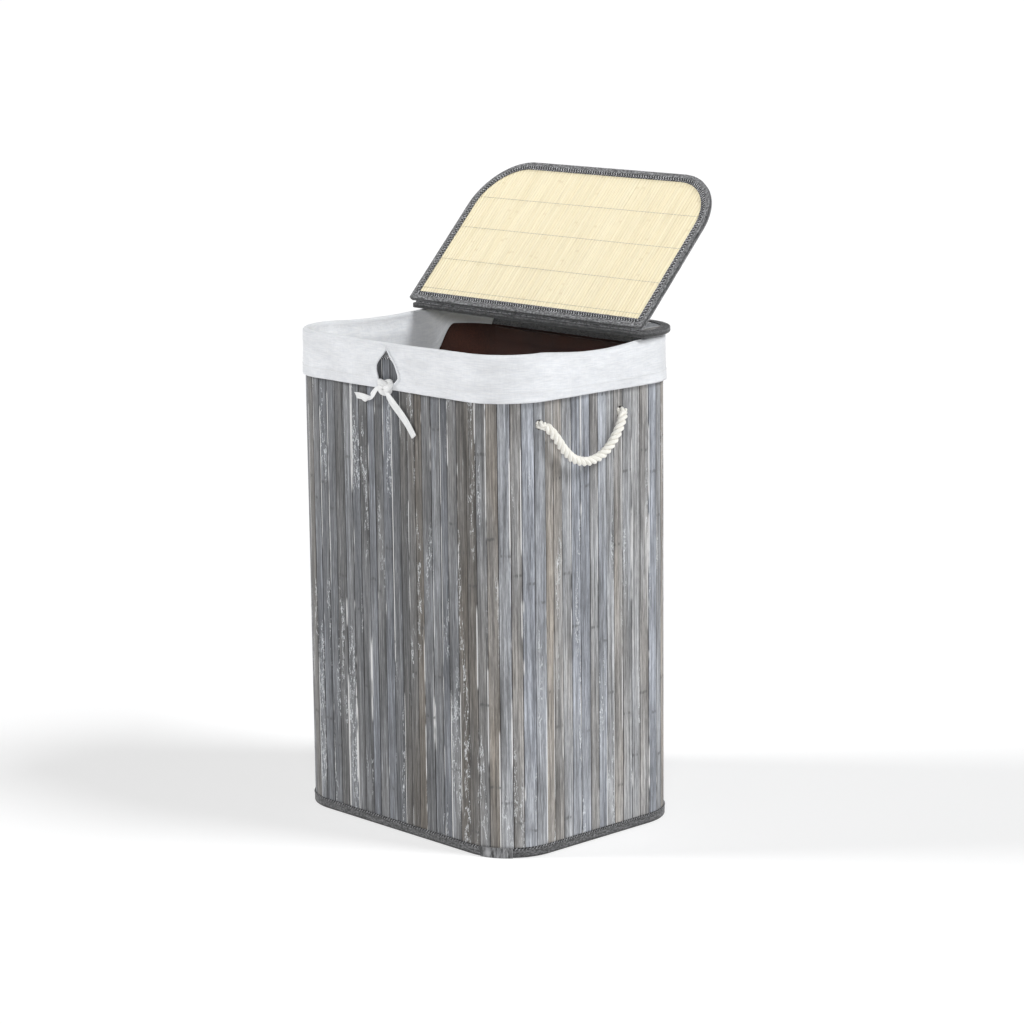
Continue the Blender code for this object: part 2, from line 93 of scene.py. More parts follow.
# Liner
CUFF_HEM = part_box("liner_cuff")[0].z
CUFF_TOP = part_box("liner_cuff")[1].z
BAG_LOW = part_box("liner_bag")[0].z
BAG_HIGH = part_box("liner_bag")[1].z
CLOTH = 0.0009

# The cuff's sheet, in rows from its hem: up the outside, over the rim, and down inside
CUFF_RISE_ROWS = 26
CUFF_FOLD_ROWS = 12
CUFF_ROWS = CUFF_RISE_ROWS + CUFF_FOLD_ROWS + 18
CUFF_FOLD_MIDDLE = -0.0020
CUFF_FOLD_RADIUS = 0.0043

# The slit above the tie: how far each of its edges stands from its line, by height
SLIT_X = -0.0022
SLIT_APEX = 0.5845
SLIT_REACH = 0.075
SLIT_EDGES = {
    -1: (
        (0.5366, 0.0040),
        (0.5405, 0.0060),
        (0.5473, 0.0134),
        (0.5560, 0.0175),
        (0.5648, 0.0170),
        (0.5725, 0.0112),
        (0.5800, 0.0040),
        (SLIT_APEX, 0.0),
    ),
    1: (
        (0.5366, 0.0050),
        (0.5390, 0.0075),
        (0.5437, 0.0160),
        (0.5500, 0.0225),
        (0.5570, 0.0225),
        (0.5650, 0.0175),
        (0.5725, 0.0115),
        (0.5800, 0.0050),
        (SLIT_APEX, 0.0),
    ),
}

# Rope handles, as in the CAD: the loop swings about the line through its ends
ROPE_DIAMETER = 0.0105
ROPE_LAY = 0.024
ROPE_KNOT_SIZE = (0.0150, 0.0058, 0.0150)
HANDLE_Y = -0.0275
HANDLE_Z = 0.510
HANDLE_HALF_SPAN = 0.065
SWING_OUT = 0.0058
HOLE_RADIUS = 0.0059
HOLES = {
    "wall_left": (-1, 1),
    "wall_right": (1, 1),
    "corner_front_left": (-1, -1),
    "corner_front_right": (1, -1),
}
ROPE_HALF_ROUTE = (
    (0.0645, SWING_OUT, 0.0000),
    (0.0585, 0.0102, -0.0060),
    (0.0505, 0.0128, -0.0165),
    (0.0390, 0.0134, -0.0310),
    (0.0225, 0.0130, -0.0440),
    (0.0000, 0.0125, -0.0495),
)

# Tie on the cuff
TIE_WIDTH = 0.0085
TIE_KNOT_SIZE = (0.0225, 0.0056, 0.0150)
KNOT_PLACE = (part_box("tie_knot")[0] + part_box("tie_knot")[1]) / 2
LEFT_TAIL = (
    (-0.0010, -0.1565, 0.5400),
    (-0.0125, -0.1575, 0.5362),
    (-0.0215, -0.1562, 0.5285),
    (-0.0290, -0.1548, 0.5232),
    (-0.0355, -0.1535, 0.5218),
    (-0.0460, -0.1530, 0.5238),
    (-0.0570, -0.1520, 0.5236),
)
LEFT_TAIL_LENGTH = 0.0605
RIGHT_TAIL = (
    (0.0010, -0.1565, 0.5400),
    (0.0075, -0.1580, 0.5318),
    (0.0150, -0.1562, 0.5215),
    (0.0245, -0.1540, 0.5110),
    (0.0350, -0.1522, 0.4990),
    (0.0452, -0.1516, 0.4855),
)
RIGHT_TAIL_LENGTH = 0.0715

# Lid
HINGE = Vector((0.0, 0.0675, 0.6))
LID_HALF_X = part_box("lid_strip_binding")[1].x
LID_BACK_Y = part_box("lid_strip_binding")[1].y
LID_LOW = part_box("lid_strip_binding")[0].z
LID_RADIUS = 0.0745
LID_THICKNESS = 0.0065
LID_INSET = 0.0012
LID_SPLIT_GAP = 0.001
FLAP_LENGTH = 0.225
BLIND_PITCH = 0.0050
# Strips: pitch, thickness, gap, how uneven their widths are, and how high their rings stand
LID_SLATS = (0.0144, 0.0013, 0.0004, 0.1, 0.00025)
BLIND_STRIPS = (BLIND_PITCH, 0.0012, 0.0003, 0.05, 0.0)
BLIND_THREADS = (0.020, 0.066, 0.117, 0.165)
HINGE_TAPE_WIDTH = 0.014


# ---------------------------------------------------------------- meshes


class Shape:
    """Faces gathered for one mesh, with a place on the surface for each corner, in metres, and
    a tone for each strip: three numbers that its material reads."""

    def __init__(self):
        self.points = []
        self.faces = []
        self.places = []
        self.tones = []

    def add(self, points, faces, places, tone):
        start = len(self.points)
        self.points.extend(map(tuple, points))
        for face, spots in zip(faces, places):
            self.faces.append([start + i for i in face])
            self.places.extend(spots)
            self.tones.extend([tone] * len(face))

    def grid(self, points, places, tone=PLAIN, loop=False, ring=False, capped=False):
        """Rows and columns of points. loop joins the last row to the first, ring the last
        column to the first, and places has one more of those. capped closes both ends."""
        rows, columns = points.shape[:2]
        faces = []
        spots = []
        for r in range(rows if loop else rows - 1):
            for c in range(columns if ring else columns - 1):
                below = (r + 1) % rows
                right = (c + 1) % columns
                corners = ((r, c), (r, right), (below, right), (below, c))
                faces.append([i * columns + j for i, j in corners])
                square = ((r, c), (r, c + 1), (r + 1, c + 1), (r + 1, c))
                spots.append([tuple(places[i, j]) for i, j in square])
        if capped:
            for r in (0, rows - 1):
                faces.append([r * columns + j for j in range(columns)])
                spots.append([tuple(places[r, j]) for j in range(columns)])
        self.add(points.reshape(-1, 3), faces, spots, tone)


def mesh_of(name, shape, solid, merge):
    mesh = bpy.data.meshes.new(name)
    mesh.from_pydata(shape.points, [], shape.faces)
    layer = mesh.uv_layers.new(name="surface")
    layer.data.foreach_set("uv", np.array(shape.places, np.float32).ravel())
    tone = mesh.color_attributes.new("tone", "FLOAT_COLOR", "CORNER")
    colours = np.ones((len(shape.tones), 4), np.float32)
    colours[:, :3] = shape.tones
    tone.data.foreach_set("color", colours.ravel())
    bm = bmesh.new()
    bm.from_mesh(mesh)
    if merge:
        bmesh.ops.remove_doubles(bm, verts=bm.verts[:], dist=1e-6)
    if solid:
        bmesh.ops.recalc_face_normals(bm, faces=bm.faces[:])
    bm.to_mesh(mesh)
    bm.free()
    return mesh


def piece(
    name, shape, kind, body="hamper", replaces=(), place=None, angle=35, solid=True, merge=False
):
    """A new piece of a kind in MATERIALS, on a CAD body. place is a matrix that moves it there
    first, angle how sharp an edge has to be to show, solid turns its faces outwards, and merge
    joins points at one place."""
    mesh = mesh_of(name, shape, solid, merge)
    if place is not None:
        mesh.transform(place)
    material, slot = MATERIALS[kind]
    mesh.materials.append(material)
    mesh.shade_smooth()
    if angle:
        mesh.set_sharp_from_angle(angle=math.radians(angle))
    obj = bpy.data.objects.new(name, mesh)
    bpy.context.scene.collection.objects.link(obj)
    if body:
        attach(obj, body)
    if replaces:
        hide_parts(*replaces)
    return obj


def solidified(obj, thickness):
    """Gives a sheet its thickness, half to each side."""
    step = obj.modifiers.new("thickness", "SOLIDIFY")
    step.thickness = thickness
    step.offset = 0.0
    return obj


def ripple(x, y, size, seed=0.0):
    """Smooth noise from about -1 to 1, whose waves are about twice size across."""
    return noise.noise(Vector((x / size, y / size, seed)))


def smoothstep(value, low, high):
    t = min(max((value - low) / (high - low), 0.0), 1.0)
    return t * t * (3 - 2 * t)


def distances(points):
    """How far along a route each of its points lies."""
    steps = np.linalg.norm(np.diff(np.array(points), axis=0), axis=1)
    return np.concatenate([[0.0], np.cumsum(steps)])


def rounded_outline(corners, radii, step, closed=True):
    """Stations round a rectangle with rounded corners, anticlockwise: place, outward direction
    and distance along. An open one leaves out the side after the last corner."""
    places = []
    outs = []
    count = len(corners)
    for i, radius in enumerate(radii):
        here = Vector(corners[i])
        arriving = (here - Vector(corners[i - 1])).normalized()
        side = Vector(corners[(i + 1) % count]) - here
        leaving = side.normalized()
        centre = here + radius * (leaving - arriving)
        steps = max(3, math.ceil(radius * math.pi / 2 / step))
        for k in range(steps + 1):
            turn = Matrix.Rotation(math.radians(90) * k / steps, 2)
            out = turn @ Vector((arriving.y, -arriving.x))
            places.append(centre + radius * out)
            outs.append(out)
        if i == count - 1 and not closed:
            break
        length = side.length - radius - radii[(i + 1) % count]
        steps = max(1, math.ceil(length / step))
        start = places[-1]
        for k in range(1, steps):
            places.append(start + leaving * length * k / steps)
            outs.append(Vector((leaving.y, -leaving.x)))
    return np.array(places), np.array(outs), distances([*places, places[0]])


def wall_outline(step, closed=True):
    corners = ((-HALF_X, HALF_Y), (-HALF_X, -HALF_Y), (HALF_X, -HALF_Y), (HALF_X, HALF_Y))
    return rounded_outline(corners, [CORNER_RADIUS] * 4, step, closed)


def catmull_rom(points, samples):
    """Points along a smooth curve through the given ones."""
    points = [Vector(p) for p in points]
    padded = [2 * points[0] - points[1], *points, 2 * points[-1] - points[-2]]
    route = []
    for a, b, c, d in zip(padded, padded[1:], padded[2:], padded[3:]):
        for k in range(samples):
            t = k / samples
            bend = (2 * a - 5 * b + 4 * c - d) * t**2 + (3 * b - a - 3 * c + d) * t**3
            route.append((2 * b + (c - a) * t + bend) / 2)
    route.append(points[-1])
    return route


def headings(route):
    """The direction of a route at each of its points."""
    last = len(route) - 1
    return [(route[min(i + 1, last)] - route[max(i - 1, 0)]).normalized() for i in range(last + 1)]


def frames_along(route):
    """Two directions across a route at each of its points, which don't twist."""
    ahead = headings(route)
    across = ahead[0].orthogonal().normalized()
    found = []
    for direction in ahead:
        across = (across - direction * across.dot(direction)).normalized()
        found.append((across, direction.cross(across)))
    return found


def tube(shape, route, frames, sides, section):
    """A capped tube along a route. For a row and an angle round it, section gives how far the
    surface lies in each direction of the row's frame, and its place on the surface."""
    points = np.zeros((len(route), sides, 3))
    places = np.zeros((len(route), sides + 1, 2))
    for i, (middle, (across, up)) in enumerate(zip(route, frames)):
        for j in range(sides + 1):
            x, y, *places[i, j] = section(i, 2 * math.pi * j / sides)
            if j < sides:
                points[i, j] = middle + across * x + up * y
    shape.grid(points, places, ring=True, capped=True)


def stitch_row(shape, route, ups, pitch=STITCH_PITCH, length=STITCH_LENGTH, radius=THREAD_RADIUS):
    """Stitches laid end to end along a route, each a short arched length of thread."""
    lengths = distances(route)
    arch = ((-0.5, -0.6, 0.5), (-0.3, 0.5, 0.95), (0.0, 0.8, 1.0), (0.3, 0.5, 0.95), (0.5, -0.6, 0.5))

    def section(i, angle):
        along, _, size = arch[i]
        reach = radius * size
        return (
            reach * math.cos(angle),
            reach * math.sin(angle),
            angle / (2 * math.pi),
            along * length,
        )

    for k in range(int(lengths[-1] / pitch)):
        at = (k + 0.5) * pitch
        i = min(int(np.searchsorted(lengths, at)), len(route) - 1)
        share = (at - lengths[i - 1]) / max(lengths[i] - lengths[i - 1], 1e-9)
        centre = route[i - 1].lerp(route[i], share)
        ahead = (route[i] - route[i - 1]).normalized()
        frame_here = (ahead.cross(ups[i]).normalized(), ups[i])
        middles = [centre + ahead * along * length + ups[i] * rise * radius for along, rise, _ in arch]
        tube(shape, middles, [frame_here] * len(arch), 6, section)


# ---------------------------------------------------------------- materials


class Paint:
    """A material and short ways to add nodes to it."""

    def __init__(self, name):
        self.material = bpy.data.materials.new(name)
        self.material.use_nodes = True
        self.tree = self.material.node_tree
        self.shader = self.tree.nodes["Principled BSDF"]

    def put(self, socket, value):
        if isinstance(value, bpy.types.NodeSocket):
            self.tree.links.new(value, socket)
        elif value is not None:
            socket.default_value = value

    def node(self, kind, *inputs, out=0, **settings):
        made = self.tree.nodes.new("ShaderNode" + kind)
        for key, value in settings.items():
            setattr(made, key, value)
        for socket, value in zip(made.inputs, inputs):
            self.put(socket, value)
        return made.outputs[out]

    def math(self, operation, a, b=None, c=None):
        return self.node("Math", a, b, c, operation=operation)

    def times(self, a, b):
        return self.math("MULTIPLY", a, b)

    def plus(self, a, b):
        return self.math("ADD", a, b)

    def minus(self, a, b):
        return self.math("SUBTRACT", a, b)

    def size(self, a):
        return self.math("ABSOLUTE", a)

    def vector(self, x, y, z=0.0):
        return self.node("CombineXYZ", x, y, z)

    def noise(self, vector, scale=1.0, detail=2.0, roughness=0.5):
        return self.node("TexNoise", vector, None, scale, detail, roughness)

    def grain(self, u, v, across, along, seed=0.0, detail=3.0, roughness=0.6):
        """Noise stretched over a surface: its waves to the metre, or to the strip, each way."""
        spot = self.vector(self.times(u, across), self.times(v, along), seed)
        return self.noise(spot, 1.0, detail, roughness)

    def stretched(self, vector, *stretch):
        return self.node("VectorMath", vector, stretch, operation="MULTIPLY")

    def fade(self, value, low, high, start=0.0, end=1.0):
        return self.node(
            "MapRange", value, low, high, start, end, interpolation_type="SMOOTHSTEP"
        )

    def mix(self, factor, a, b, kind="MIX"):
        made = self.tree.nodes.new("ShaderNodeMix")
        made.data_type = "RGBA"
        made.blend_type = kind
        for index, value in ((0, factor), (6, a), (7, b)):
            self.put(made.inputs[index], value)
        return made.outputs[2]

    def shade(self, colour, value, dark, light, low=0.3, high=0.7):
        """Multiplies a colour by greys that follow a value."""
        greys = self.ramp(value, (low, grey(dark)), (high, grey(light)))
        return self.mix(1.0, colour, greys, "MULTIPLY")

    def brighten(self, colour, value):
        return self.mix(1.0, colour, self.vector(value, value, value), "MULTIPLY")

    def ramp(self, value, *stops):
        made = self.tree.nodes.new("ShaderNodeValToRGB")
        self.put(made.inputs[0], value)
        elements = made.color_ramp.elements
        while len(elements) < len(stops):
            elements.new(0.5)
        for element, (position, colour) in zip(elements, stops):
            element.position = position
            element.color = colour
        return made.outputs[0]

    def bump(self, height, distance, strength=1.0, normal=None):
        made = self.tree.nodes.new("ShaderNodeBump")
        made.inputs["Strength"].default_value = strength
        made.inputs["Distance"].default_value = distance
        self.put(made.inputs["Height"], height)
        self.put(made.inputs["Normal"], normal)
        return made.outputs["Normal"]

    def parts(self, vector):
        split = self.tree.nodes.new("ShaderNodeSeparateXYZ")
        self.put(split.inputs[0], vector)
        return split.outputs[0], split.outputs[1], split.outputs[2]

    def surface(self):
        """The two coordinates of a piece's own surface."""
        return self.parts(self.node("UVMap", uv_map="surface"))[:2]

    def tone(self):
        """The three numbers of a strip's tone."""
        return self.parts(self.node("Attribute", attribute_name="tone"))

    def place(self):
        """A point's place in its object's own coordinates."""
        return self.node("TexCoord", out=3)

    def finish(self, colour, roughness, normal=None, **constants):
        self.put(self.shader.inputs["Base Color"], colour)
        self.put(self.shader.inputs["Roughness"], roughness)
        self.put(self.shader.inputs["Normal"], normal)
        for key, value in constants.items():
            self.shader.inputs[key.replace("_", " ")].default_value = value
        return self.material


def grey(value, tint=(1.0, 1.0, 1.0)):
    return (value * tint[0], value * tint[1], value * tint[2], 1.0)


def weathered_bamboo():
    """Grey-stained slats. u runs across a slat from 0 to 1, and v along it in metres. The tone
    picks the slat's colour, its place in the noise, and how light it is, which is partly
    painted light and shade by the way the slat faces."""
    p = Paint("weathered_bamboo")
    u, v = p.surface()
    hue, seed, light = p.tone()
    shift = p.times(seed, 37.0)
    place = p.vector(u, v, shift)

    def grain(across, along, detail=3.0, roughness=0.6, apart=1.0):
        return p.noise(p.stretched(place, across, along, apart), 1.0, detail, roughness)

    # stain: blue-grey to brown from slat to slat, and drifting along each one
    drift = p.math("MULTIPLY_ADD", grain(0.6, 4.0, 2.0, 0.5, 2.0), 0.9, -0.45)
    stain = p.plus(hue, drift)
    colour = p.ramp(
        stain,
        (0.00, grey(0.205, (0.95, 1.00, 1.11))),
        (0.25, grey(0.230, (0.97, 1.00, 1.06))),
        (0.50, grey(0.200, (1.00, 1.00, 1.01))),
        (0.75, grey(0.195, (1.05, 1.00, 0.95))),
        (1.00, grey(0.185, (1.11, 1.00, 0.88))),
    )
    broad = grain(1.2, 7.0)
    streak = grain(5.0, 7.0, 3.0, 0.6)
    thin = grain(10.0, 20.0, 4.0, 0.7, 11.0)
    fine = grain(19.0, 85.0, 4.0, 0.7)
    colour = p.shade(colour, broad, 0.68, 1.34)
    colour = p.shade(colour, streak, 0.54, 1.44)
    colour = p.shade(colour, thin, 0.56, 1.46)
    colour = p.shade(colour, fine, 0.66, 1.34)
    # painted light and shade: the slat's lightness, set by the way it faces, with a random part
    colour = p.brighten(colour, p.plus(light, 0.5))
    # limewash: left in the grain, and as pale outlines where it has flaked
    colour = p.mix(p.fade(thin, 0.60, 0.74, 0.0, 0.50), colour, grey(0.60, (0.96, 1.0, 1.05)))
    flaked = p.fade(grain(0.8, 5.0, 1.0, 0.5, 3.0), 0.57, 0.65)
    rim = p.size(p.minus(grain(2.2, 30.0, 4.0, 0.65, 5.0), 0.5))
    outline = p.times(p.fade(rim, 0.004, 0.020, 0.9, 0.0), flaked)
    colour = p.mix(outline, colour, grey(0.72, (0.97, 1.0, 1.03)))
    # edges: dark in the joint, with a worn white line that comes and goes on one side
    across = p.minus(u, 0.5)
    off_centre = p.size(across)
    one_side = p.math("GREATER_THAN", p.times(across, p.minus(seed, 0.5)), 0.0)
    runs = p.noise(p.vector(shift, p.times(v, 4.0), 4.0), 1.0, 4.0, 0.65)
    worn = p.times(p.fade(off_centre, 0.385, 0.405), p.fade(runs, 0.52, 0.57, 0.0, 0.9))
    colour = p.mix(p.times(p.fade(off_centre, 0.468, 0.490), 0.70), colour, grey(0.035))
    colour = p.mix(p.times(worn, one_side), colour, grey(0.74))
    # the joints of the cane: faint dark smudges, at the rings of the slat's mesh
    along = p.math("MULTIPLY_ADD", v, RINGS_PER_METRE, p.times(seed, RING_SHIFT))
    wander = p.math("MULTIPLY_ADD", grain(3.0, 40.0), 0.02, -0.51)
    joint = p.size(p.plus(p.math("FRACT", along), wander))
    broken = p.fade(grain(4.0, 30.0, 2.0, 0.5, 9.0), 0.42, 0.62)
    line = p.times(p.fade(joint, 0.002, 0.009, 0.60, 0.0), broken)
    halo = p.times(p.fade(joint, 0.004, 0.045, 0.28, 0.0), streak)
    colour = p.mix(halo, colour, grey(0.10))
    colour = p.mix(line, colour, grey(0.07))
    rough = p.fade(streak, 0.3, 0.7, 0.46, 0.70)
    relief = p.plus(p.times(thin, 0.7), p.times(fine, 0.5))
    return p.finish(colour, rough, p.bump(relief, 0.0008, 0.8), Specular_IOR_Level=0.35)


def natural_bamboo():
    """Pale strips. u runs across a strip from 0 to 1, and v along it in metres."""
    p = Paint("natural_bamboo")
    u, v = p.surface()
    hue, seed, _ = p.tone()
    shift = p.times(seed, 31.0)
    grain = p.grain(u, v, 5.0, 14.0, shift, 4.0)
    fine = p.grain(u, v, 18.0, 40.0, shift)
    base = p.ramp(
        hue,
        (0.0, (0.95, 0.855, 0.605, 1.0)),
        (0.5, (0.97, 0.88, 0.635, 1.0)),
        (1.0, (0.99, 0.905, 0.665, 1.0)),
    )
    colour = p.shade(base, grain, 0.91, 1.08)
    colour = p.shade(colour, fine, 0.94, 1.04)
    off_centre = p.size(p.minus(u, 0.5))
    colour = p.mix(p.fade(off_centre, 0.33, 0.50, 0.0, 0.36), colour, (0.62, 0.50, 0.27, 1.0))
    along = p.math("MULTIPLY_ADD", v, 3.1, p.times(seed, 9.0))
    joint = p.size(p.minus(p.math("FRACT", along), 0.5))
    line = p.fade(joint, 0.001, 0.008, 0.25, 0.0)
    colour = p.mix(line, colour, (0.62, 0.48, 0.26, 1.0))
    normal = p.bump(p.plus(grain, p.times(fine, 0.5)), 0.0003, 0.6)
    rough = p.fade(grain, 0.3, 0.7, 0.36, 0.52)
    return p.finish(colour, rough, normal, Specular_IOR_Level=0.4)


def woven_tape():
    """Folded tape. u runs along it and v across it from its fold, in metres: plain twill near the
    fold, and pale dashes on dark along the sewn side, with a painted shadow line along the fold.
    The tone holds where that side starts and ends, and how light the tape is: painted light and
    shade, darker on the bottom binding and on the rear strip's binding."""
    p = Paint("grey_tape")
    u, v = p.surface()
    start, end, light = p.tone()
    depth = p.size(v)
    begun = (p.times(start, 0.98 * SEWN_SCALE), p.times(start, 1.03 * SEWN_SCALE))
    sewn = p.fade(depth, *begun)
    sewn = p.times(sewn, p.math("LESS_THAN", depth, p.times(end, SEWN_SCALE)))
    twill = p.math("SINE", p.times(p.plus(u, v), 2 * math.pi / 0.0013))
    zigzag = p.math("PINGPONG", v, 0.0030)
    slant = p.times(p.math("MULTIPLY_ADD", zigzag, 0.9, u), 2 * math.pi / 0.0042)
    dashes = p.fade(p.math("SINE", slant), 0.25, 0.85)
    yarn = p.grain(u, v, 280.0, 520.0, 0.0, 3.0, 0.65)
    wear = p.grain(u, v, 60.0, 330.0, 5.0, 4.0, 0.65)
    dark = grey(0.115, (1.0, 1.0, 1.03))
    plain = p.mix(p.fade(twill, -0.8, 0.8), dark, grey(0.205, (1.0, 1.01, 1.04)))
    row = p.mix(dashes, grey(0.010, (1.0, 1.0, 1.04)), grey(0.40, (1.0, 1.01, 1.05)))
    colour = p.mix(sewn, plain, row)
    # painted shade: a dark line along the fold
    colour = p.mix(p.fade(depth, 0.0005, 0.0024, 0.75, 0.0), colour, grey(0.02))
    colour = p.shade(colour, yarn, 0.25, 1.75, 0.38, 0.62)
    colour = p.shade(colour, wear, 0.60, 1.44, 0.35, 0.65)
    # painted light and shade: the tape made lighter or darker by its tone
    colour = p.brighten(colour, p.times(light, 2.0))
    relief = p.math("MULTIPLY_ADD", yarn, 0.5, p.times(p.times(sewn, dashes), 0.6))
    normal = p.bump(relief, 0.0005, 0.8)
    rough = p.fade(yarn, 0.3, 0.7, 0.78, 0.95)
    return p.finish(colour, rough, normal, Sheen_Weight=0.2, Sheen_Roughness=0.5)


def cotton(name, shade=(0.765, 0.775, 0.792, 1.0)):
    """Plain-woven polycotton with slubs and fine creases. u runs along it and v across it."""
    p = Paint(name)
    u, v = p.surface()
    warp = p.math("SINE", p.times(u, 2 * math.pi / 0.0009))
    weft = p.math("SINE", p.times(v, 2 * math.pi / 0.0009))
    slub = p.grain(u, v, 70.0, 520.0, 0.0, 4.0)
    upright = p.grain(u, v, 420.0, 80.0, 5.0)
    crease = p.grain(u, v, 26.0, 70.0, 9.0, 4.0)
    cloud = p.grain(u, v, 9.0, 14.0, 13.0)
    deep = (shade[0] * 0.90, shade[1] * 0.91, shade[2] * 0.93, 1.0)
    colour = p.mix(p.fade(slub, 0.34, 0.64), deep, shade)
    colour = p.shade(colour, upright, 0.965, 1.02)
    # painted shade: darker in the hollows of the creases and lighter on their ridges
    colour = p.shade(colour, crease, 0.925, 1.05)
    colour = p.shade(colour, cloud, 0.925, 1.06)
    height = p.math("MULTIPLY_ADD", slub, 0.45, p.times(p.times(warp, weft), 0.06))
    height = p.math("MULTIPLY_ADD", upright, 0.25, height)
    normal = p.bump(height, 0.0005, 0.6, p.bump(crease, 0.0024, 0.7))
    rough = p.fade(slub, 0.3, 0.7, 0.80, 0.95)
    return p.finish(colour, rough, normal, Sheen_Weight=0.25, Sheen_Roughness=0.4)


def cotton_rope():
    """Yarns along a rope's strands. u runs round the rope from 0 to 1, and v along it."""
    p = Paint("cotton_rope")
    u, v = p.surface()
    laid = p.minus(u, p.times(v, 1 / ROPE_LAY))
    around = p.times(laid, 42.0)
    yarns = p.math("SINE", p.times(p.plus(around, p.times(v, 900.0)), 2.0))
    fibre = p.grain(u, v, 40.0, 1100.0, 0.0, 4.0, 0.65)
    soft = p.grain(u, v, 5.0, 120.0, 3.0, 2.0, 0.5)
    colour = p.ramp(fibre, (0.25, (0.80, 0.78, 0.71, 1.0)), (0.75, (0.96, 0.945, 0.89, 1.0)))
    colour = p.shade(colour, soft, 0.93, 1.04)
    # painted shade: darker in the grooves between the strands
    strands = p.math("FRACT", p.times(laid, 3.0))
    groove = p.size(p.minus(strands, 0.5))
    colour = p.mix(p.fade(groove, 0.0, 0.20, 0.40, 0.0), colour, (0.40, 0.35, 0.26, 1.0))
    height = p.plus(p.times(yarns, 0.25), p.times(fibre, 0.8))
    normal = p.bump(height, 0.0005, 0.8)
    rough = p.fade(fibre, 0.3, 0.7, 0.82, 0.96)
    return p.finish(colour, rough, normal, Sheen_Weight=0.35, Sheen_Roughness=0.45)


def thread(name, value, tint=(1.0, 1.0, 1.0)):
    """Twisted sewing thread. v runs along a stitch."""
    p = Paint(name)
    u, v = p.surface()
    twist = p.math("SINE", p.math("MULTIPLY_ADD", v, 7000.0, p.times(u, 2 * math.pi)))
    colour = p.mix(p.fade(twist, -1.0, 1.0), grey(0.75 * value, tint), grey(value, tint))
    return p.finish(colour, 0.8, p.bump(twist, 0.00008, 0.7), Sheen_Weight=0.15)


def brown_cloth():
    """The backing cloth glued behind the slats, in the object's own coordinates."""
    p = Paint("brown_backing")
    place = p.place()
    weave = p.noise(p.stretched(place, 900.0, 900.0, 1500.0))
    cloud = p.noise(place, 18.0, 3.0, 0.6)
    colour = p.ramp(weave, (0.3, (0.028, 0.0085, 0.005, 1.0)), (0.7, (0.072, 0.024, 0.014, 1.0)))
    colour = p.shade(colour, cloud, 0.75, 1.3)
    rough = p.fade(cloud, 0.3, 0.7, 0.8, 0.95)
    return p.finish(colour, rough, p.bump(weave, 0.0003, 0.6), Sheen_Weight=0.2)


def fibre_board():
    p = Paint("fibre_board")
    place = p.place()
    chips = p.noise(place, 420.0, 4.0, 0.7)
    cloud = p.noise(place, 26.0, 3.0, 0.6)
    colour = p.ramp(chips, (0.3, (0.16, 0.095, 0.050, 1.0)), (0.7, (0.34, 0.225, 0.130, 1.0)))
    colour = p.shade(colour, cloud, 0.85, 1.15)
    rough = p.fade(chips, 0.3, 0.7, 0.65, 0.85)
    return p.finish(colour, rough, p.bump(chips, 0.0003, 0.5))


def batten_wood():
    """Planed bamboo battens, in the object's own coordinates."""
    p = Paint("batten_wood")
    place = p.place()
    grain = p.noise(p.stretched(place, 30.0, 30.0, 900.0), 1.0, 4.0, 0.6)
    colour = p.ramp(grain, (0.3, (0.58, 0.44, 0.24, 1.0)), (0.7, (0.80, 0.67, 0.42, 1.0)))
    return p.finish(colour, p.fade(grain, 0.3, 0.7, 0.45, 0.6), p.bump(grain, 0.0003, 0.5))


def hook_and_loop():
    p = Paint("hook_and_loop")
    place = p.place()
    cells = p.node("TexVoronoi", place, None, 1100.0)
    cloud = p.noise(place, 60.0, 3.0, 0.6)
    colour = p.ramp(cells, (0.0, grey(0.14)), (0.6, grey(0.04)))
    colour = p.shade(colour, cloud, 0.8, 1.2)
    return p.finish(colour, 0.9, p.bump(cells, 0.0006, 0.9), Sheen_Weight=0.4)


def pale_floor():
    p = Paint("pale_floor")
    place = p.place()
    cloud = p.noise(place, 1.5, 3.0, 0.5)
    colour = p.ramp(cloud, (0.3, grey(0.49)), (0.7, grey(0.51)))
    return p.finish(
        colour,
        0.8,
        Specular_IOR_Level=0.1,
        Emission_Color=(1.0, 1.0, 1.0, 1.0),
        Emission_Strength=0.54,
    )


# The kinds of piece: each one's material, and the record's slot that it stands for
MATERIALS = {
    "grey": (weathered_bamboo(), "grey_bamboo"),
    "natural": (natural_bamboo(), "natural_bamboo"),
    "tape": (woven_tape(), "grey_tape"),
    "cotton": (cotton("liner_cotton"), "cotton"),
    "tie": (cotton("tie_cotton", (0.86, 0.86, 0.85, 1.0)), "cotton"),
    "rope": (cotton_rope(), "cotton_rope"),
    "grey_thread": (thread("grey_thread", 0.22, (1.0, 1.0, 1.05)), "grey_tape"),
    "white_thread": (thread("white_thread", 0.80), "cotton"),
    "blind_thread": (thread("blind_thread", 0.46, (1.08, 1.0, 0.80)), "natural_bamboo"),
}


# ---------------------------------------------------------------- camera, lights, floor


def add_camera():
    data = bpy.data.cameras.new("camera")
    data.lens = CAMERA_LENS
    data.clip_end = 100.0
    camera = bpy.data.objects.new("camera", data)
    aim = (CAMERA_TARGET - CAMERA_PLACE).to_track_quat("-Z", "Y").to_matrix().to_4x4()
    roll = Matrix.Rotation(CAMERA_ROLL, 4, "Z")
    camera.matrix_world = Matrix.Translation(CAMERA_PLACE) @ aim @ roll
    bpy.context.scene.collection.objects.link(camera)
    bpy.context.scene.camera = camera


def add_sun(name, toward, strength, softness, colour=(1.0, 1.0, 1.0)):
    """Light from far away, from the direction given. softness is the width of its source."""
    data = bpy.data.lights.new(name, "SUN")
    data.energy = strength
    data.angle = math.radians(softness)
    data.color = colour
    light = bpy.data.objects.new(name, data)
    light.rotation_euler = Vector(toward).to_track_quat("Z", "Y").to_euler()
    bpy.context.scene.collection.objects.link(light)


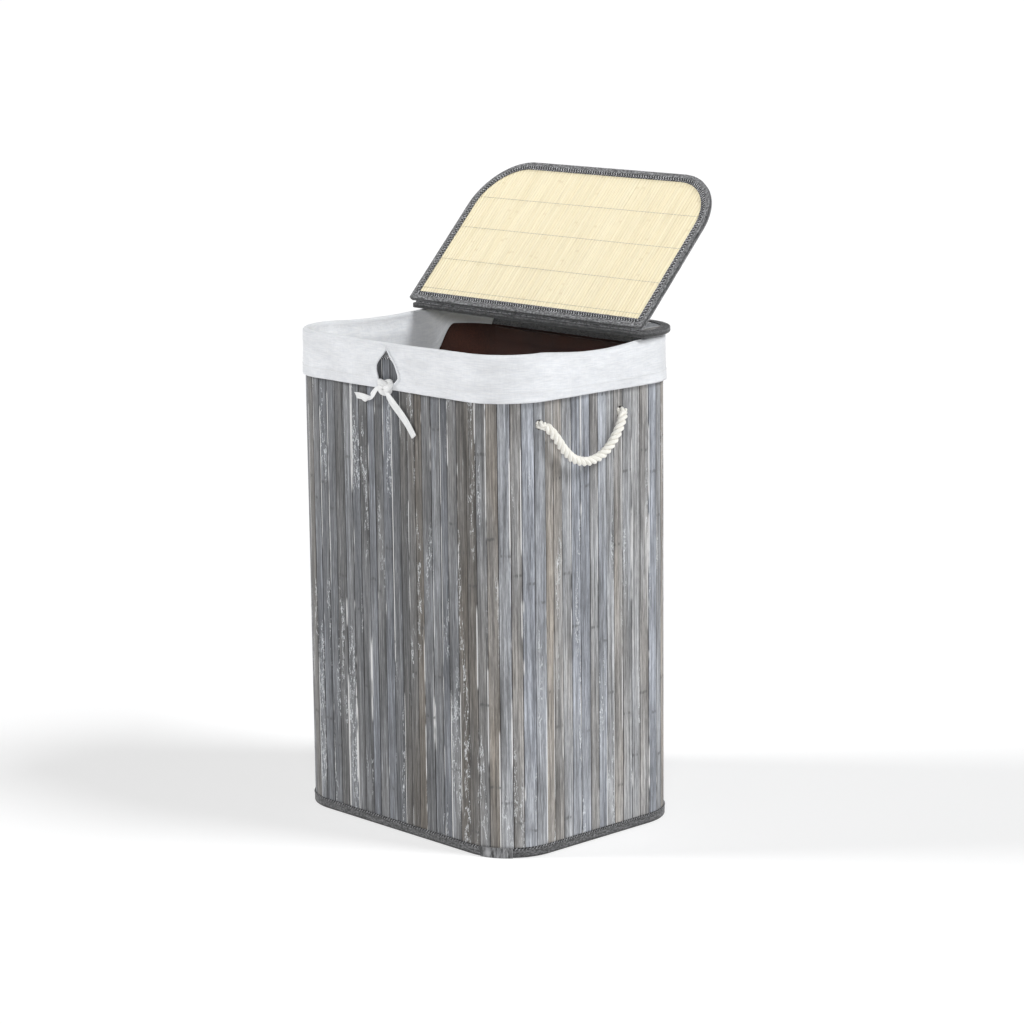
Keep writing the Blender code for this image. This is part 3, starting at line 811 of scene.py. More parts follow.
def add_studio():
    add_camera()
    add_sun("key_right", (0.75, 0.42, 0.95), 2.3, 18, (0.98, 0.99, 1.0))
    add_sun("key_front", (-0.80, -0.80, 0.80), 1.75, 12)
    add_sun("fill_camera", (0.68, -0.64, 0.35), 1.15, 20)
    world = bpy.data.worlds.new("studio")
    world.use_nodes = True
    nodes = world.node_tree.nodes
    place = nodes.new("ShaderNodeTexCoord")
    split = nodes.new("ShaderNodeSeparateXYZ")
    height = nodes.new("ShaderNodeMapRange")
    for key, value in (("From Min", 0.12), ("From Max", 0.30), ("To Min", 1.0), ("To Max", 0.34)):
        height.inputs[key].default_value = value
    world.node_tree.links.new(place.outputs["Generated"], split.inputs[0])
    world.node_tree.links.new(split.outputs["Z"], height.inputs["Value"])
    world.node_tree.links.new(height.outputs[0], nodes["Background"].inputs["Strength"])
    bpy.context.scene.world = world
    bpy.context.scene.view_settings.view_transform = "Standard"
    mesh = bpy.data.meshes.new("floor")
    reach = 60.0
    corners = [(-reach, -reach, 0), (reach, -reach, 0), (reach, reach, 0), (-reach, reach, 0)]
    mesh.from_pydata(corners, [], [(0, 1, 2, 3)])
    mesh.materials.append(pale_floor())
    floor = bpy.data.objects.new("floor", mesh)
    floor.location.z = -0.0004
    bpy.context.scene.collection.objects.link(floor)


# ---------------------------------------------------------------- ropes, knots and tie


def rope_tube(shape, route, radius, start_round=False, end_round=False):
    """Three strands laid round each other along a route, as one surface."""
    lengths = distances(route)
    strand = 0.464 * radius
    middle = radius - strand
    third = 2 * math.pi / 3

    def section(i, angle):
        at = lengths[i]
        size = 1.0
        for rounded, end in ((start_round, at), (end_round, lengths[-1] - at)):
            if rounded and end < radius:
                size *= math.sqrt(max(1 - (1 - end / radius) ** 2, 0.0025))
        near = (angle - 2 * math.pi * at / ROPE_LAY + third / 2) % third - third / 2
        lobe = middle * math.cos(near)
        lobe += math.sqrt(max(strand**2 - (middle * math.sin(near)) ** 2, 0.0))
        reach = size * (0.2 * radius + 0.8 * max(lobe, 0.55 * radius))
        return reach * math.cos(angle), reach * math.sin(angle), angle / (2 * math.pi), at

    tube(shape, route, frames_along(route), 36, section)


def trefoil(size, steps):
    """A closed knot's route round nought, which fits in a box of that size."""
    route = []
    for k in range(steps + 1):
        t = 2 * math.pi * k / steps
        x = math.sin(t) + 2 * math.sin(2 * t)
        y = math.cos(t) - 2 * math.cos(2 * t)
        route.append(Vector((x / 6 * size[0], -math.sin(3 * t) / 2 * size[1], y / 6 * size[2])))
    return route


def wall_point(side, y):
    """The point of a side wall's outer face at y, and its outward direction's angle."""
    beyond = abs(y) - (HALF_Y - CORNER_RADIUS)
    if beyond <= 0:
        return Vector((side * HALF_X, y, HANDLE_Z)), 90 - 90 * side
    tilt = math.asin(beyond / CORNER_RADIUS)
    x = HALF_X - CORNER_RADIUS + CORNER_RADIUS * math.cos(tilt)
    turn = math.degrees(math.copysign(tilt, y))
    return Vector((side * x, y, HANDLE_Z)), turn if side > 0 else 180 - turn


def build_handle(side, word):
    """A rope handle. Its loop swings, and each of its ends comes out of its hole as far as the
    loop's end, and is knotted inside."""
    place = Vector((side * HALF_X, HANDLE_Y, HANDLE_Z))
    half = [place + Vector((side * out, -along, z)) for along, out, z in ROPE_HALF_ROUTE]
    other = [Vector((p.x, 2 * HANDLE_Y - p.y, p.z)) for p in reversed(half[:-1])]
    route = catmull_rom(half + other, 18)
    shape = Shape()
    rope_tube(shape, route, ROPE_DIAMETER * 0.53, True, True)
    name = "rope_handle_" + word
    loop = piece(name + "_loop", shape, "rope", "handle_" + word, (name,), angle=0)
    exit_place, _ = wall_point(side, HANDLE_Y - HANDLE_HALF_SPAN)
    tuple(exit_place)
    radius = ROPE_DIAMETER / 2
    stub = [Vector((x, 0, 0)) for x in np.linspace(-0.008, SWING_OUT + radius * 0.9, 24)]
    knot = [Vector((p.y - 0.0108, p.x, p.z)) for p in trefoil(ROPE_KNOT_SIZE, 72)]
    for end, name in ((-1, "front"), (1, "back")):
        place, turn = wall_point(side, HANDLE_Y + end * HANDLE_HALF_SPAN)
        spin = Matrix.Translation(place) @ Matrix.Rotation(math.radians(turn), 4, "Z")
        shape = Shape()
        rope_tube(shape, stub, radius, False, True)
        rope_tube(shape, knot, radius * 0.62)
        node = f"rope_knot_{word}_{name}"
        piece(node + "_rope", shape, "rope", "hamper", (node,), spin, angle=0)


def flat_tube(shape, route, width, thickness, normals, fold=0.0, pinched=1.0):
    """A woven tape along a route: a flat ring whose broad faces look along the normals. pinched
    is its width at the start, as a share, which opens out over the first third."""
    lengths = distances(route)
    frames = []
    for ahead, normal in zip(headings(route), normals):
        up = (normal - ahead * normal.dot(ahead)).normalized()
        frames.append((ahead.cross(up), up))

    def section(i, angle):
        x = math.copysign(abs(math.cos(angle)) ** 0.6, math.cos(angle))
        wide = width * (pinched + (1 - pinched) * smoothstep(i / len(route), 0.08, 0.4))
        rise = math.sin(angle) * thickness / 2 + fold * (x * x - 0.5)
        return x * wide / 2, rise, lengths[i], x * width / 2

    tube(shape, route, frames, 14, section)


def build_tie():
    """The tie's knot, and its two tails as flat tapes."""
    shape = Shape()
    knot = trefoil(TIE_KNOT_SIZE, 90)
    normals = [Vector((35 * p.x, -1.0, 35 * p.z)) for p in knot]
    flat_tube(shape, [p + KNOT_PLACE for p in knot], 0.0078, 0.0042, normals)
    piece("tie_knot_tape", shape, "tie", "hamper", ("tie_knot",), angle=0)
    for word, points, length, twists in (
        ("left", LEFT_TAIL, LEFT_TAIL_LENGTH, (0.0, 0.1, 0.5, 1.25, 0.6, -0.3, -0.5)),
        ("right", RIGHT_TAIL, RIGHT_TAIL_LENGTH, (0.1, 0.25, 0.35, 0.35, 0.2, 0.1)),
    ):
        steps = 9
        route = catmull_rom(points, steps)
        angles = np.interp(np.arange(len(route)) / steps, range(len(points)), twists)
        normals = [Vector((0.6 * math.sin(a), -math.cos(a), 0.8 * math.sin(a))) for a in angles]
        shape = Shape()
        flat_tube(shape, route, TIE_WIDTH, 0.0011, normals, 0.0009, 0.6)
        name = "tie_tail_" + word
        tail = piece(name + "_tape", shape, "tie", "hamper", (name,), angle=0)


# ---------------------------------------------------------------- slats


def slat_tone(facing):
    """A slat's colour, its place in the noise and how light it is. facing is the wall's outward
    direction: how light it is holds painted light and shade, darker at the front and lighter
    the more it faces right, back or left, with a random part that is the slat's own tone."""
    # painted light and shade: lighter or darker by the way the slat faces
    light = 0.19 + 0.70 * max(facing[0], 0.0) ** 1.4 + 0.30 * max(facing[1], -facing[0], 0.0)
    hue = min(max(chance.random() - 0.12 * facing[0], 0.0), 1.0)
    return hue, chance.random(), min(max(light + chance.uniform(-0.15, 0.15), 0.0), 1.0)


def slat(shape, origin, across, out, width, thickness, spans, tone, rows=26, swell=0.00016, taper=0.0):
    """One strip with a slightly crowned face, rounded edges and the raised rings of its cane.
    spans gives the start and end of its length at a place across it, from -1 to 1, swell is how
    high a ring stands, and taper how much narrower its back is, on each side."""
    half = width / 2
    edge = (
        (1.0, -0.0006),
        (1.0 - 0.00012 / half, -0.0002),
        (1.0 - 0.0004 / half, 0.0),
        (0.45, SLAT_CROWN),
    )
    section = [(-side, rise) for side, rise in edge] + list(reversed(edge))
    section += [(1.0 - taper / half, -thickness), (-1.0 + taper / half, -thickness)]
    ends = [spans(side) for side, _ in section]
    low = min(start for start, _ in ends)
    high = max(end for _, end in ends)
    levels = list(np.linspace(0, 1, rows))
    rings = []
    place = (0.5 - tone[1] * RING_SHIFT) % 1.0 / RINGS_PER_METRE
    while place < high:
        if low + 0.006 < place < high - 0.006:
            rings.append(place)
            for step in (-0.004, -0.0015, 0.0, 0.0015, 0.004):
                levels.append((place + step - low) / (high - low))
        place += 1 / RINGS_PER_METRE
    points = np.zeros((len(levels), len(section), 3))
    places = np.zeros((len(levels), len(section) + 1, 2))
    seed = 60 * tone[1] + 7 * tone[0]
    along = out.cross(across)
    for r, level in enumerate(sorted(levels)):
        for c, ((side, rise), (start, end)) in enumerate(zip(section, ends)):
            at = start + (end - start) * level
            if rise > -0.9 * thickness:
                rise += sum(swell * math.exp(-(((at - ring) / 0.0022) ** 2)) for ring in rings)
            rise += 0.00022 * noise.noise(Vector((at * 5, seed, 0.5)))
            sway = 0.0001 * noise.noise(Vector((at * 9, seed, 7.5 + math.copysign(1, side))))
            points[r, c] = origin + across * (side * half + sway) + out * rise + along * at
            places[r, c] = ((side + 1) / 2, at)
        places[r, -1] = (0.0, places[r, 0, 1])
    shape.grid(points, places, tone, ring=True, capped=True)


def uneven(length, count, spread):
    """Joints between strips of uneven width that fill a length, centred on nought."""
    widths = [1 + chance.uniform(-spread, spread) for _ in range(count)]
    joints = np.concatenate([[0], np.cumsum(widths)]) / sum(widths)
    return (joints - 0.5) * length


def drill(obj, side, y):
    """Makes the hole for a handle's end in a side wall's piece."""
    place, turn = wall_point(side, y)
    mesh = bpy.data.meshes.new("hole")
    bm = bmesh.new()
    bmesh.ops.create_cone(
        bm,
        cap_ends=True,
        segments=28,
        radius1=HOLE_RADIUS,
        radius2=HOLE_RADIUS,
        depth=0.03,
        matrix=Matrix.Rotation(math.radians(90), 4, "Y"),
    )
    bm.to_mesh(mesh)
    bm.free()
    cutter = bpy.data.objects.new("hole", mesh)
    cutter.matrix_world = Matrix.Translation(place) @ Matrix.Rotation(math.radians(turn), 4, "Z")
    bpy.context.scene.collection.objects.link(cutter)
    step = obj.modifiers.new("cut", "BOOLEAN")
    step.operation = "DIFFERENCE"
    step.solver = "EXACT"
    step.object = cutter
    graph = bpy.context.evaluated_depsgraph_get()
    drilled = bpy.data.meshes.new_from_object(obj.evaluated_get(graph), depsgraph=graph)
    obj.modifiers.clear()
    obj.data = drilled
    bpy.data.objects.remove(cutter, do_unlink=True)


def wall_span(side):
    return WALL_LOW, WALL_HIGH


def build_walls():
    """The slats of the four walls and of the corners between them, with the handles' holes."""
    flat_x = HALF_X - CORNER_RADIUS
    flat_y = HALF_Y - CORNER_RADIUS
    made = {}
    for name, length, facing, reach in (
        ("wall_front", 2 * flat_x, (0, -1), HALF_Y),
        ("wall_back", 2 * flat_x, (0, 1), HALF_Y),
        ("wall_left", 2 * flat_y, (-1, 0), HALF_X),
        ("wall_right", 2 * flat_y, (1, 0), HALF_X),
    ):
        shape = made[name] = Shape()
        out = Vector((*facing, 0))
        across = Vector((-facing[1], facing[0], 0))
        joints = uneven(length, SLATS[name], 0.16)
        for a, b in zip(joints, joints[1:]):
            proud = chance.uniform(-0.0003, 0.00005)
            origin = out * (reach + proud) + across * (a + b) / 2
            width = b - a - chance.uniform(*SLAT_GAP)
            thickness = SLAT_THICKNESS - 0.0003
            slat(shape, origin, across, out, width, thickness, wall_span, slat_tone(facing))
    for name, (sx, sy), start in (
        ("corner_back_right", (1, 1), 0),
        ("corner_back_left", (-1, 1), 90),
        ("corner_front_left", (-1, -1), 180),
        ("corner_front_right", (1, -1), 270),
    ):
        shape = made[name] = Shape()
        centre = Vector((sx * flat_x, sy * flat_y, 0))
        joints = uneven(math.radians(90), SLATS_CORNER, 0.12) + math.radians(start + 45)
        for a, b in zip(joints, joints[1:]):
            middle = (a + b) / 2
            out = Vector((math.cos(middle), math.sin(middle), 0))
            across = Vector((-out.y, out.x, 0))
            width = 2 * CORNER_RADIUS * math.tan((b - a) / 2) - chance.uniform(*SLAT_GAP)
            origin = centre + out * (CORNER_RADIUS - 0.0002)
            thickness = SLAT_THICKNESS - 0.0005
            tone = slat_tone(out)
            slat(shape, origin, across, out, width, thickness, wall_span, tone, taper=0.0004)
    for name, shape in made.items():
        obj = piece(name + "_strips", shape, "grey", "hamper", (name,))
        if name in HOLES:
            side, end = HOLES[name]
            drill(obj, side, HANDLE_Y + end * HANDLE_HALF_SPAN)


# ---------------------------------------------------------------- bindings


def rounded_section(corners, radius, steps=4):
    """A closed section, as offset and height, with its corners rounded."""
    found = []
    count = len(corners)
    for i in range(count):
        here = Vector(corners[i])
        before = Vector(corners[i - 1]) - here
        after = Vector(corners[(i + 1) % count]) - here
        r = min(radius, before.length * 0.45, after.length * 0.45)
        start = here + before.normalized() * r
        end = here + after.normalized() * r
        for k in range(steps + 1):
            t = k / steps
            found.append((1 - t) ** 2 * start + 2 * t * (1 - t) * here + t * t * end)
    return found


def folded_tape(name, outline, section, fold, sewn, light, body="hamper", place=None, pucker=0.00018):
    """A tape folded over an edge and sewn down, with the small puckers that the seam draws in.
    fold is how far round the section its fold lies, and sewn where its sewn side starts and
    ends, measured from the fold. light is how light the tape is painted, as painted light and
    shade."""
    places, outs, along = outline
    across = distances([*section, section[0]])
    points = np.zeros((len(places), len(section), 3))
    for i, (spot, out) in enumerate(zip(places, outs)):
        for j, (offset, z) in enumerate(section):
            puff = pucker * noise.noise(Vector((along[i] * 260, across[j] * 160, 2.0)))
            points[i, j] = (*(spot + (offset + puff) * out), z + puff * 0.5)
    spots = np.zeros((len(places) + 1, len(section) + 1, 2))
    spots[:, :, 0] = along[:, None]
    spots[:, :, 1] = np.where(across > across[-1] / 2, across - across[-1], across) - fold
    shape = Shape()
    tone = (sewn[0] / SEWN_SCALE, sewn[1] / SEWN_SCALE, light)
    shape.grid(points, spots, tone, loop=True, ring=True)
    piece(name + "_tape", shape, "tape", body, (name,), place, angle=50)


def sewn_row(shape, outline, offset, z, out_share, up):
    """Stitches round an outline, at an offset from it and a height. Their face is turned
    outwards by out_share and upwards by up."""
    places, outs, _ = outline
    route = [Vector((*(place + offset * out), z)) for place, out in zip(places, outs)]
    ups = [Vector((*(out * out_share), up)).normalized() for out in outs]
    stitch_row(shape, route + route[:1], ups + ups[:1])


def build_wall_bindings():
    """The tapes round the walls' top and bottom edges, and the lap where the lower one ends."""
    outline = wall_outline(0.004)
    outer = 0.0012
    inner = -0.0052
    tape = 0.0008
    # the last number is the tape's lightness: painted light and shade, darker on the bottom binding
    for name, foot, edge, light in (
        ("top_binding", WALL_HIGH - TAPE_WIDTH, WALL_HIGH + 0.0011, 0.5),
        ("bottom_binding", 0.0123, 0.0002, 0.25),
    ):
        turn = 1 if edge > foot else -1
        corners = (
            (0.0003, foot),
            (outer + 0.0001, foot + turn * 0.0002),
            (outer, edge - turn * 0.0001),
            (inner, edge),
            (inner, foot),
            (inner + tape, foot),
            (inner + tape, edge - turn * tape),
            (0.0003, edge - turn * tape),
        )
        section = rounded_section(corners, 0.0009)
        folded_tape(name, outline, section, 0.0125, (0.0086, 0.0122), light)
        shape = Shape()
        sewn_row(shape, outline, 0.00125, foot + turn * 0.0017, 1.0, 0.0)
        piece(name + "_stitches", shape, "grey_thread", angle=0)
    places, outs, along = outline
    near = [i for i, out in enumerate(outs) if out[0] > 0.20 and out[1] < -0.66]
    corners = ((0.0013, 0.0125), (0.0021, 0.0125), (0.0021, 0.0), (0.0013, 0.0))
    section = rounded_section(corners, 0.0004)
    points = [[(*(places[i] + offset * outs[i]), z) for offset, z in section] for i in near]
    spots = np.zeros((len(near), len(section) + 1, 2))
    spots[:, :, 0] = along[near][:, None]
    spots[:, :, 1] = np.linspace(0.004, 0.030, len(section) + 1)
    shape = Shape()
    shape.grid(np.array(points), spots, (0.5, 0.5, 0.40), ring=True, capped=True)
    piece("bottom_binding_lap", shape, "tape", angle=50)


# ---------------------------------------------------------------- lid


def lid_outline(low_y, high_y, rounded_high):
    """Round one part of the lid, anticlockwise. Its corners at the free edge are rounded."""
    x = LID_HALF_X
    corners = ((-x, high_y), (-x, low_y), (x, low_y), (x, high_y))
    tight = 0.0025
    high, low = (LID_RADIUS, tight) if rounded_high else (tight, LID_RADIUS)
    return rounded_outline(corners, (high, low, low, high), 0.004)


def lid_strips(part, z, facing, tones, pitch, thickness, gap, spread, swell):
    """Strips side by side across one part of the lid, running from front to back. facing is 1
    where they look up, and -1 where they look down."""
    low_y, high_y, rounded_high = part
    low_y += LID_INSET
    high_y -= LID_INSET
    reach = LID_HALF_X - LID_INSET
    radius = LID_RADIUS - LID_INSET
    joints = uneven(2 * reach, round(2 * reach / pitch), spread)
    out = Vector((0, 0, facing))
    across = Vector((facing, 0, 0))
    shape = Shape()
    for a, b in zip(joints, joints[1:]):

        def spans(side):
            x = abs((a + b) / 2 + side * (b - a) / 2 * facing)
            beyond = max(x - (reach - radius), 0.0)
            cut = radius - math.sqrt(max(radius**2 - beyond**2, 0.0))
            return (low_y, high_y - cut) if rounded_high else (low_y + cut, high_y)

        origin = Vector(((a + b) / 2, 0, z))
        slat(shape, origin, across, out, b - a - gap, thickness, spans, tones(), 14, swell)
    return shape


def natural_tone():
    return chance.random(), chance.random(), 0.5


def lid_tone():
    # painted light: the lid's slats are made as light as a slat that faces mostly right
    return slat_tone((0.9, 0.3))


def build_lid_part(prefix, part, low, body, place, threads, light):
    """One part of the lid, laid flat from a height of low: grey slats above, a blind below, and
    a binding round the CAD's board. part is its front and back, and whether its back corners
    are the rounded ones. light is how light its binding is painted, as painted light and shade."""
    outline = lid_outline(*part)
    top = low + LID_THICKNESS
    shape = lid_strips(part, top - 0.0011, 1, lid_tone, *LID_SLATS)
    piece(prefix + "_slats_strips", shape, "grey", body, (prefix + "_slats",), place)
    shape = lid_strips(part, low + 0.0011, -1, natural_tone, *BLIND_STRIPS)
    piece(prefix + "_lining_strips", shape, "natural", body, (prefix + "_lining",), place)
    shape = Shape()
    reach = LID_HALF_X - 0.004
    for y in threads:
        spots = np.arange(round(2 * reach / 0.002) + 1) * 0.002 - reach
        route = [Vector((x, y, low + 0.00095)) for x in spots]
        ups = [Vector((0, 0, -1))] * len(route)
        stitch_row(shape, route, ups, BLIND_PITCH / 2, BLIND_PITCH * 0.36, 0.00032)
    piece(prefix + "_lining_threads", shape, "blind_thread", body, (), place, angle=0)
    tape = 0.0007
    corners = (
        (0.0, low),
        (0.0, top),
        (-TAPE_WIDTH, top),
        (-TAPE_WIDTH, top - tape),
        (-tape, top - tape),
        (-tape, low + tape),
        (-TAPE_WIDTH, low + tape),
        (-TAPE_WIDTH, low),
    )
    section = rounded_section(corners, 0.0016)
    name = prefix + "_binding"
    sewn = (0.0078, 0.0150)
    folded_tape(name, outline, section, LID_THICKNESS / 2, sewn, light, body, place, 0.0002)
    shape = Shape()
    for z, up in ((top, 1.0), (low, -1.0)):
        sewn_row(shape, outline, -TAPE_WIDTH + 0.0016, z, 0.0, up)
    piece(prefix + "_stitches", shape, "grey_thread", body, (), place, angle=0)


def cloth_tape(name, node, body, profile, marks, left, right, columns, wrinkle, thickness):
    """A tape of cloth whose profile is carried along x from left to right. marks are its places
    across the tape, and wrinkle moves a point."""
    points = np.zeros((len(profile), columns + 1, 3))
    places = np.zeros((len(profile), columns + 1, 2))
    for i, (spot, at) in enumerate(zip(profile, marks)):
        for j in range(columns + 1):
            x = left + (right - left) * j / columns
            points[i, j] = spot + Vector((x, *wrinkle(x, at, spot.z)))
            places[i, j] = (x, at)
    shape = Shape()
    shape.grid(points, places)
    return solidified(piece(name, shape, "tape", body, (node,), solid=False), thickness)


def straight_stitches(shape, left, right, place, up):
    """Stitches along x, on a tape at a place."""
    row = [Vector((x, place.y, place.z)) for x in np.linspace(left, right, 60)]
    stitch_row(shape, row, [up] * len(row), STITCH_PITCH, 0.0026)


def build_hinge_tape(open_angle):
    """The cloth hinge: flat on the rear strip, round the hinge line, and flat on the flap."""
    z = LID_LOW + LID_THICKNESS + 0.0005
    bend = 0.0022
    turn = Matrix.Rotation(open_angle, 4, "X")
    flat = np.linspace(HINGE_TAPE_WIDTH, bend, 8)
    strip = [Vector((0, HINGE.y + y, z)) for y in flat]
    flap = [HINGE + turn @ Vector((0, -y, z - HINGE.z)) for y in reversed(flat)]
    middle = Vector((0, HINGE.y - 0.0004, HINGE.z - 0.0002))
    route = list(strip)
    for t in (k / 8 for k in range(1, 8)):
        route.append((1 - t) ** 2 * strip[-1] + 2 * t * (1 - t) * middle + t * t * flap[0])
    route += flap
    reach = LID_HALF_X - TAPE_WIDTH + 0.004

    def wrinkle(x, at, _):
        return 0.0, 0.00012 * ripple(x, at, 0.004)

    marks = distances(route)
    node = "lid_hinge_tape"
    tape = cloth_tape(
        "lid_hinge_cloth", node, None, route, marks, -reach, reach, 150, wrinkle, 0.0006
    )
    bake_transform(tape)
    above = Vector((0, 0, 1))
    for name, line, up, body in (
        ("lid_hinge_stitches_strip", strip[2], above, "hamper"),
        ("lid_hinge_stitches_flap", flap[-3], turn @ above, "lid_flap"),
    ):
        shape = Shape()
        straight_stitches(shape, -reach + 0.003, reach - 0.003, line + up * 0.0004, up)
        piece(name, shape, "grey_thread", body, angle=0)


def build_back_tape():
    """The tape that holds the rear strip to the back wall: sewn to the wall, then curved under
    the lid."""
    low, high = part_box("lid_back_tape")
    face = (low.y + high.y) / 2
    bend = high.z - 0.006
    profile = [Vector((0, face + 0.0004, z)) for z in np.linspace(low.z, bend, 10)]
    for angle in np.radians(90) * np.arange(1, 7) / 6:
        y = face + 0.0004 + 0.0035 * (1 - math.cos(angle))
        profile.append(Vector((0, y, bend + 0.0055 * math.sin(angle))))

    def wrinkle(x, _, z):
        return abs(0.0004 * ripple(x, z, 0.012)), 0.0

    marks = 0.0028 * np.arange(len(profile))
    node = "lid_back_tape"
    cloth_tape(node + "_cloth", node, "hamper", profile, marks, low.x, high.x, 100, wrinkle, 0.0007)
    shape = Shape()
    for rise in (0.002, 0.009):
        place = Vector((0, face + 0.0010, low.z + rise))
        straight_stitches(shape, low.x + 0.002, high.x - 0.002, place, Vector((0, 1, 0)))
    piece("lid_back_stitches", shape, "grey_thread", angle=0)


def build_lid():
    """The lid, in two parts: the rear strip on the walls, and the flap at its open angle."""
    joint = next(j for j in frame["joints"] if j["name"] == "lid_hinge")
    open_angle = math.radians(joint["range_deg"][0])
    part = (HINGE.y + LID_SPLIT_GAP, LID_BACK_Y, True)
    # the last number is how light the binding is: painted shade makes the rear strip's binding darker
    # than the flap's
    build_lid_part("lid_strip", part, LID_LOW, "hamper", None, [HINGE.y + 0.045], 0.24)
    part = (-FLAP_LENGTH, -LID_SPLIT_GAP, False)
    place = Matrix.Translation(HINGE) @ Matrix.Rotation(open_angle, 4, "X")
    threads = [-y for y in BLIND_THREADS]
    build_lid_part("lid_flap", part, LID_LOW - HINGE.z, "lid_flap", place, threads, 0.5)
    build_hinge_tape(open_angle)
    build_back_tape()


# ---------------------------------------------------------------- liner


def slit_width(z, side):
    """How far the slit's edge on a side stands from the slit's line, at a height."""
    heights, widths = zip(*SLIT_EDGES[side])
    near = np.linspace(z - 0.0025, z + 0.0025, 5)
    return float(np.mean(np.interp(near, heights, widths))) if z < SLIT_APEX else 0.0


def cuff_top(place, out):
    """The fold's height, which sags along the middle of each side."""
    sag = 0.0064 if out[0] > 0 else 0.0035
    middle = max(0.0, 1 - ((place[1] - 0.004) / 0.092) ** 2) ** 1.5
    front = 0.0012 * max(0.0, 1 - (place[0] / 0.12) ** 2) if out[1] < -0.5 else 0.0
    return float(CUFF_TOP - 0.0002 - sag * middle * abs(out[0]) ** 3 - front)


def cuff_point(place, out, along, row):
    """A point of the cuff's sheet: its hem outside, up and over the rim, and down inside."""
    shoulder = cuff_top(place, out) - CUFF_FOLD_RADIUS
    if row <= CUFF_RISE_ROWS:
        share = row / CUFF_RISE_ROWS
        z = CUFF_HEM + (shoulder - CUFF_HEM) * share
        hem = 1 - smoothstep(z, CUFF_HEM + 0.0115, CUFF_HEM + 0.0135)
        wave = 0.0009 * ripple(along, z, 0.045, 3.0) + 0.0005 * ripple(along, z, 0.014, 5.0)
        flare = 0.0008 * (1 - share) * (1 + ripple(along, 0.0, 0.06, 8.0))
        offset = CUFF_FOLD_RADIUS + 0.00035 * hem + flare + max(wave, -0.0004)
    elif row <= CUFF_RISE_ROWS + CUFF_FOLD_ROWS:
        angle = math.pi * (row - CUFF_RISE_ROWS) / CUFF_FOLD_ROWS
        c = math.cos(angle)
        power = 2 / 2.9
        offset = CUFF_FOLD_RADIUS * math.copysign(abs(c) ** power, c)
        z = shoulder + 0.0042 * math.sin(angle) ** power + 0.0002 * ripple(along, angle, 0.02)
    else:
        first = CUFF_RISE_ROWS + CUFF_FOLD_ROWS
        share = (row - first) / (CUFF_ROWS - 1 - first)
        low = CUFF_HEM - 0.004 + (shoulder - 0.012 - CUFF_HEM) * smoothstep(float(out[1]), 0.03, 0.55)
        z = shoulder + (low - shoulder) * share
        offset = -CUFF_FOLD_RADIUS - 0.0050 * smoothstep(shoulder - z, 0.0, 0.020)
        offset += 0.0006 * ripple(along, z, 0.02, 12.0) - 0.0011 * smoothstep(share, 0.55, 1.0)
    return CUFF_FOLD_MIDDLE + offset, z


def build_cuff():
    """The turned-over band, in two halves that meet above the slit at the front's middle."""
    places, outs, along = wall_outline(0.0026, closed=False)
    front = [i for i, out in enumerate(outs) if out[1] < -0.99]
    split = min(front, key=lambda i: abs(places[i][0] - SLIT_X))

    def slit_away(i):
        return abs(places[i][0] - places[split][0]) if outs[i][1] < -0.99 else 1.0

    def slit_shift(i, z, side):
        fall = max(0.0, 1 - slit_away(i) / SLIT_REACH) ** 2
        return side * slit_width(z, side) * fall

    shape = Shape()
    edges = {}
    for side, columns in ((-1, range(split + 1)), (1, range(split, len(places)))):
        points = np.zeros((CUFF_ROWS, len(columns), 3))
        spots = np.zeros((CUFF_ROWS, len(columns), 2))
        for c, i in enumerate(columns):
            away = slit_away(i)
            for row in range(CUFF_ROWS):
                offset, z = cuff_point(places[i], outs[i], along[i], row)
                shift = 0.0
                if row <= CUFF_RISE_ROWS and away < SLIT_REACH:
                    # the slit draws the cloth aside, in gathers that run out from the knot
                    shift = slit_shift(i, z, side)
                    spoke = Vector((away * side + shift - KNOT_PLACE.x, z - KNOT_PLACE.z))
                    angle = math.atan2(spoke.y, abs(spoke.x))
                    near = math.exp(-((spoke.length / 0.032) ** 2))
                    offset += near * (0.0010 * math.sin(angle * 9 + side) + 0.0008)
                    curl = math.exp(-away / 0.004) * smoothstep(SLIT_APEX - z, 0.0, 0.010)
                    offset += 0.0009 * curl
                points[row, c] = (*(places[i] + offset * outs[i]), z)
                points[row, c, 0] += shift
                spots[row, c] = (along[i], row * 0.0024)
        shape.grid(points, spots)
        edge = points[: CUFF_RISE_ROWS + 1, -1 if side < 0 else 0]
        edges[side] = [Vector(p) for p in edge if p[2] < SLIT_APEX + 0.002]
    cuff = piece("liner_cuff_cloth", shape, "cotton", "hamper", ("liner_cuff",), angle=0, merge=True)
    solidified(cuff, CLOTH)
    # the slit's rolled edge, up one side and down the other
    shape = Shape()
    rim = [p + Vector((0, -0.0003, 0)) for p in edges[-1] + edges[1][::-1]]
    route = rim[:1] + [b for a, b in zip(rim, rim[1:]) if (b - a).length > 1e-5]
    flat_tube(shape, route, 0.0030, 0.0022, [Vector((0, -1, 0))] * len(route))
    piece("liner_slit_edge", shape, "cotton", angle=0)
    shape = Shape()
    for side, columns in ((-1, range(split - 6)), (1, range(split + 7, len(places)))):
        route = []
        for i in columns:
            offset, z = cuff_point(places[i], outs[i], along[i], 6)
            x, y = places[i] + (offset + CLOTH / 2) * outs[i]
            route.append(Vector((x + slit_shift(i, z, side), y, z)))
        ups = [Vector((*outs[i], 0.0)) for i in columns]
        stitch_row(shape, route, ups, 0.0030, 0.0024, 0.00024)
    piece("liner_cuff_stitches", shape, "white_thread", angle=0)


def bag_inset(out, z):
    """How far the bag hangs inside the wall's outer face."""
    side = abs(out[0]) ** 2
    back = max(out[1], 0.0) ** 2
    deep = 0.0112 + 0.0085 * side
    rim = 0.0112 * (1 - back) + 0.0072 * back
    return deep + (rim - deep) * smoothstep(z, 0.519, 0.5365)


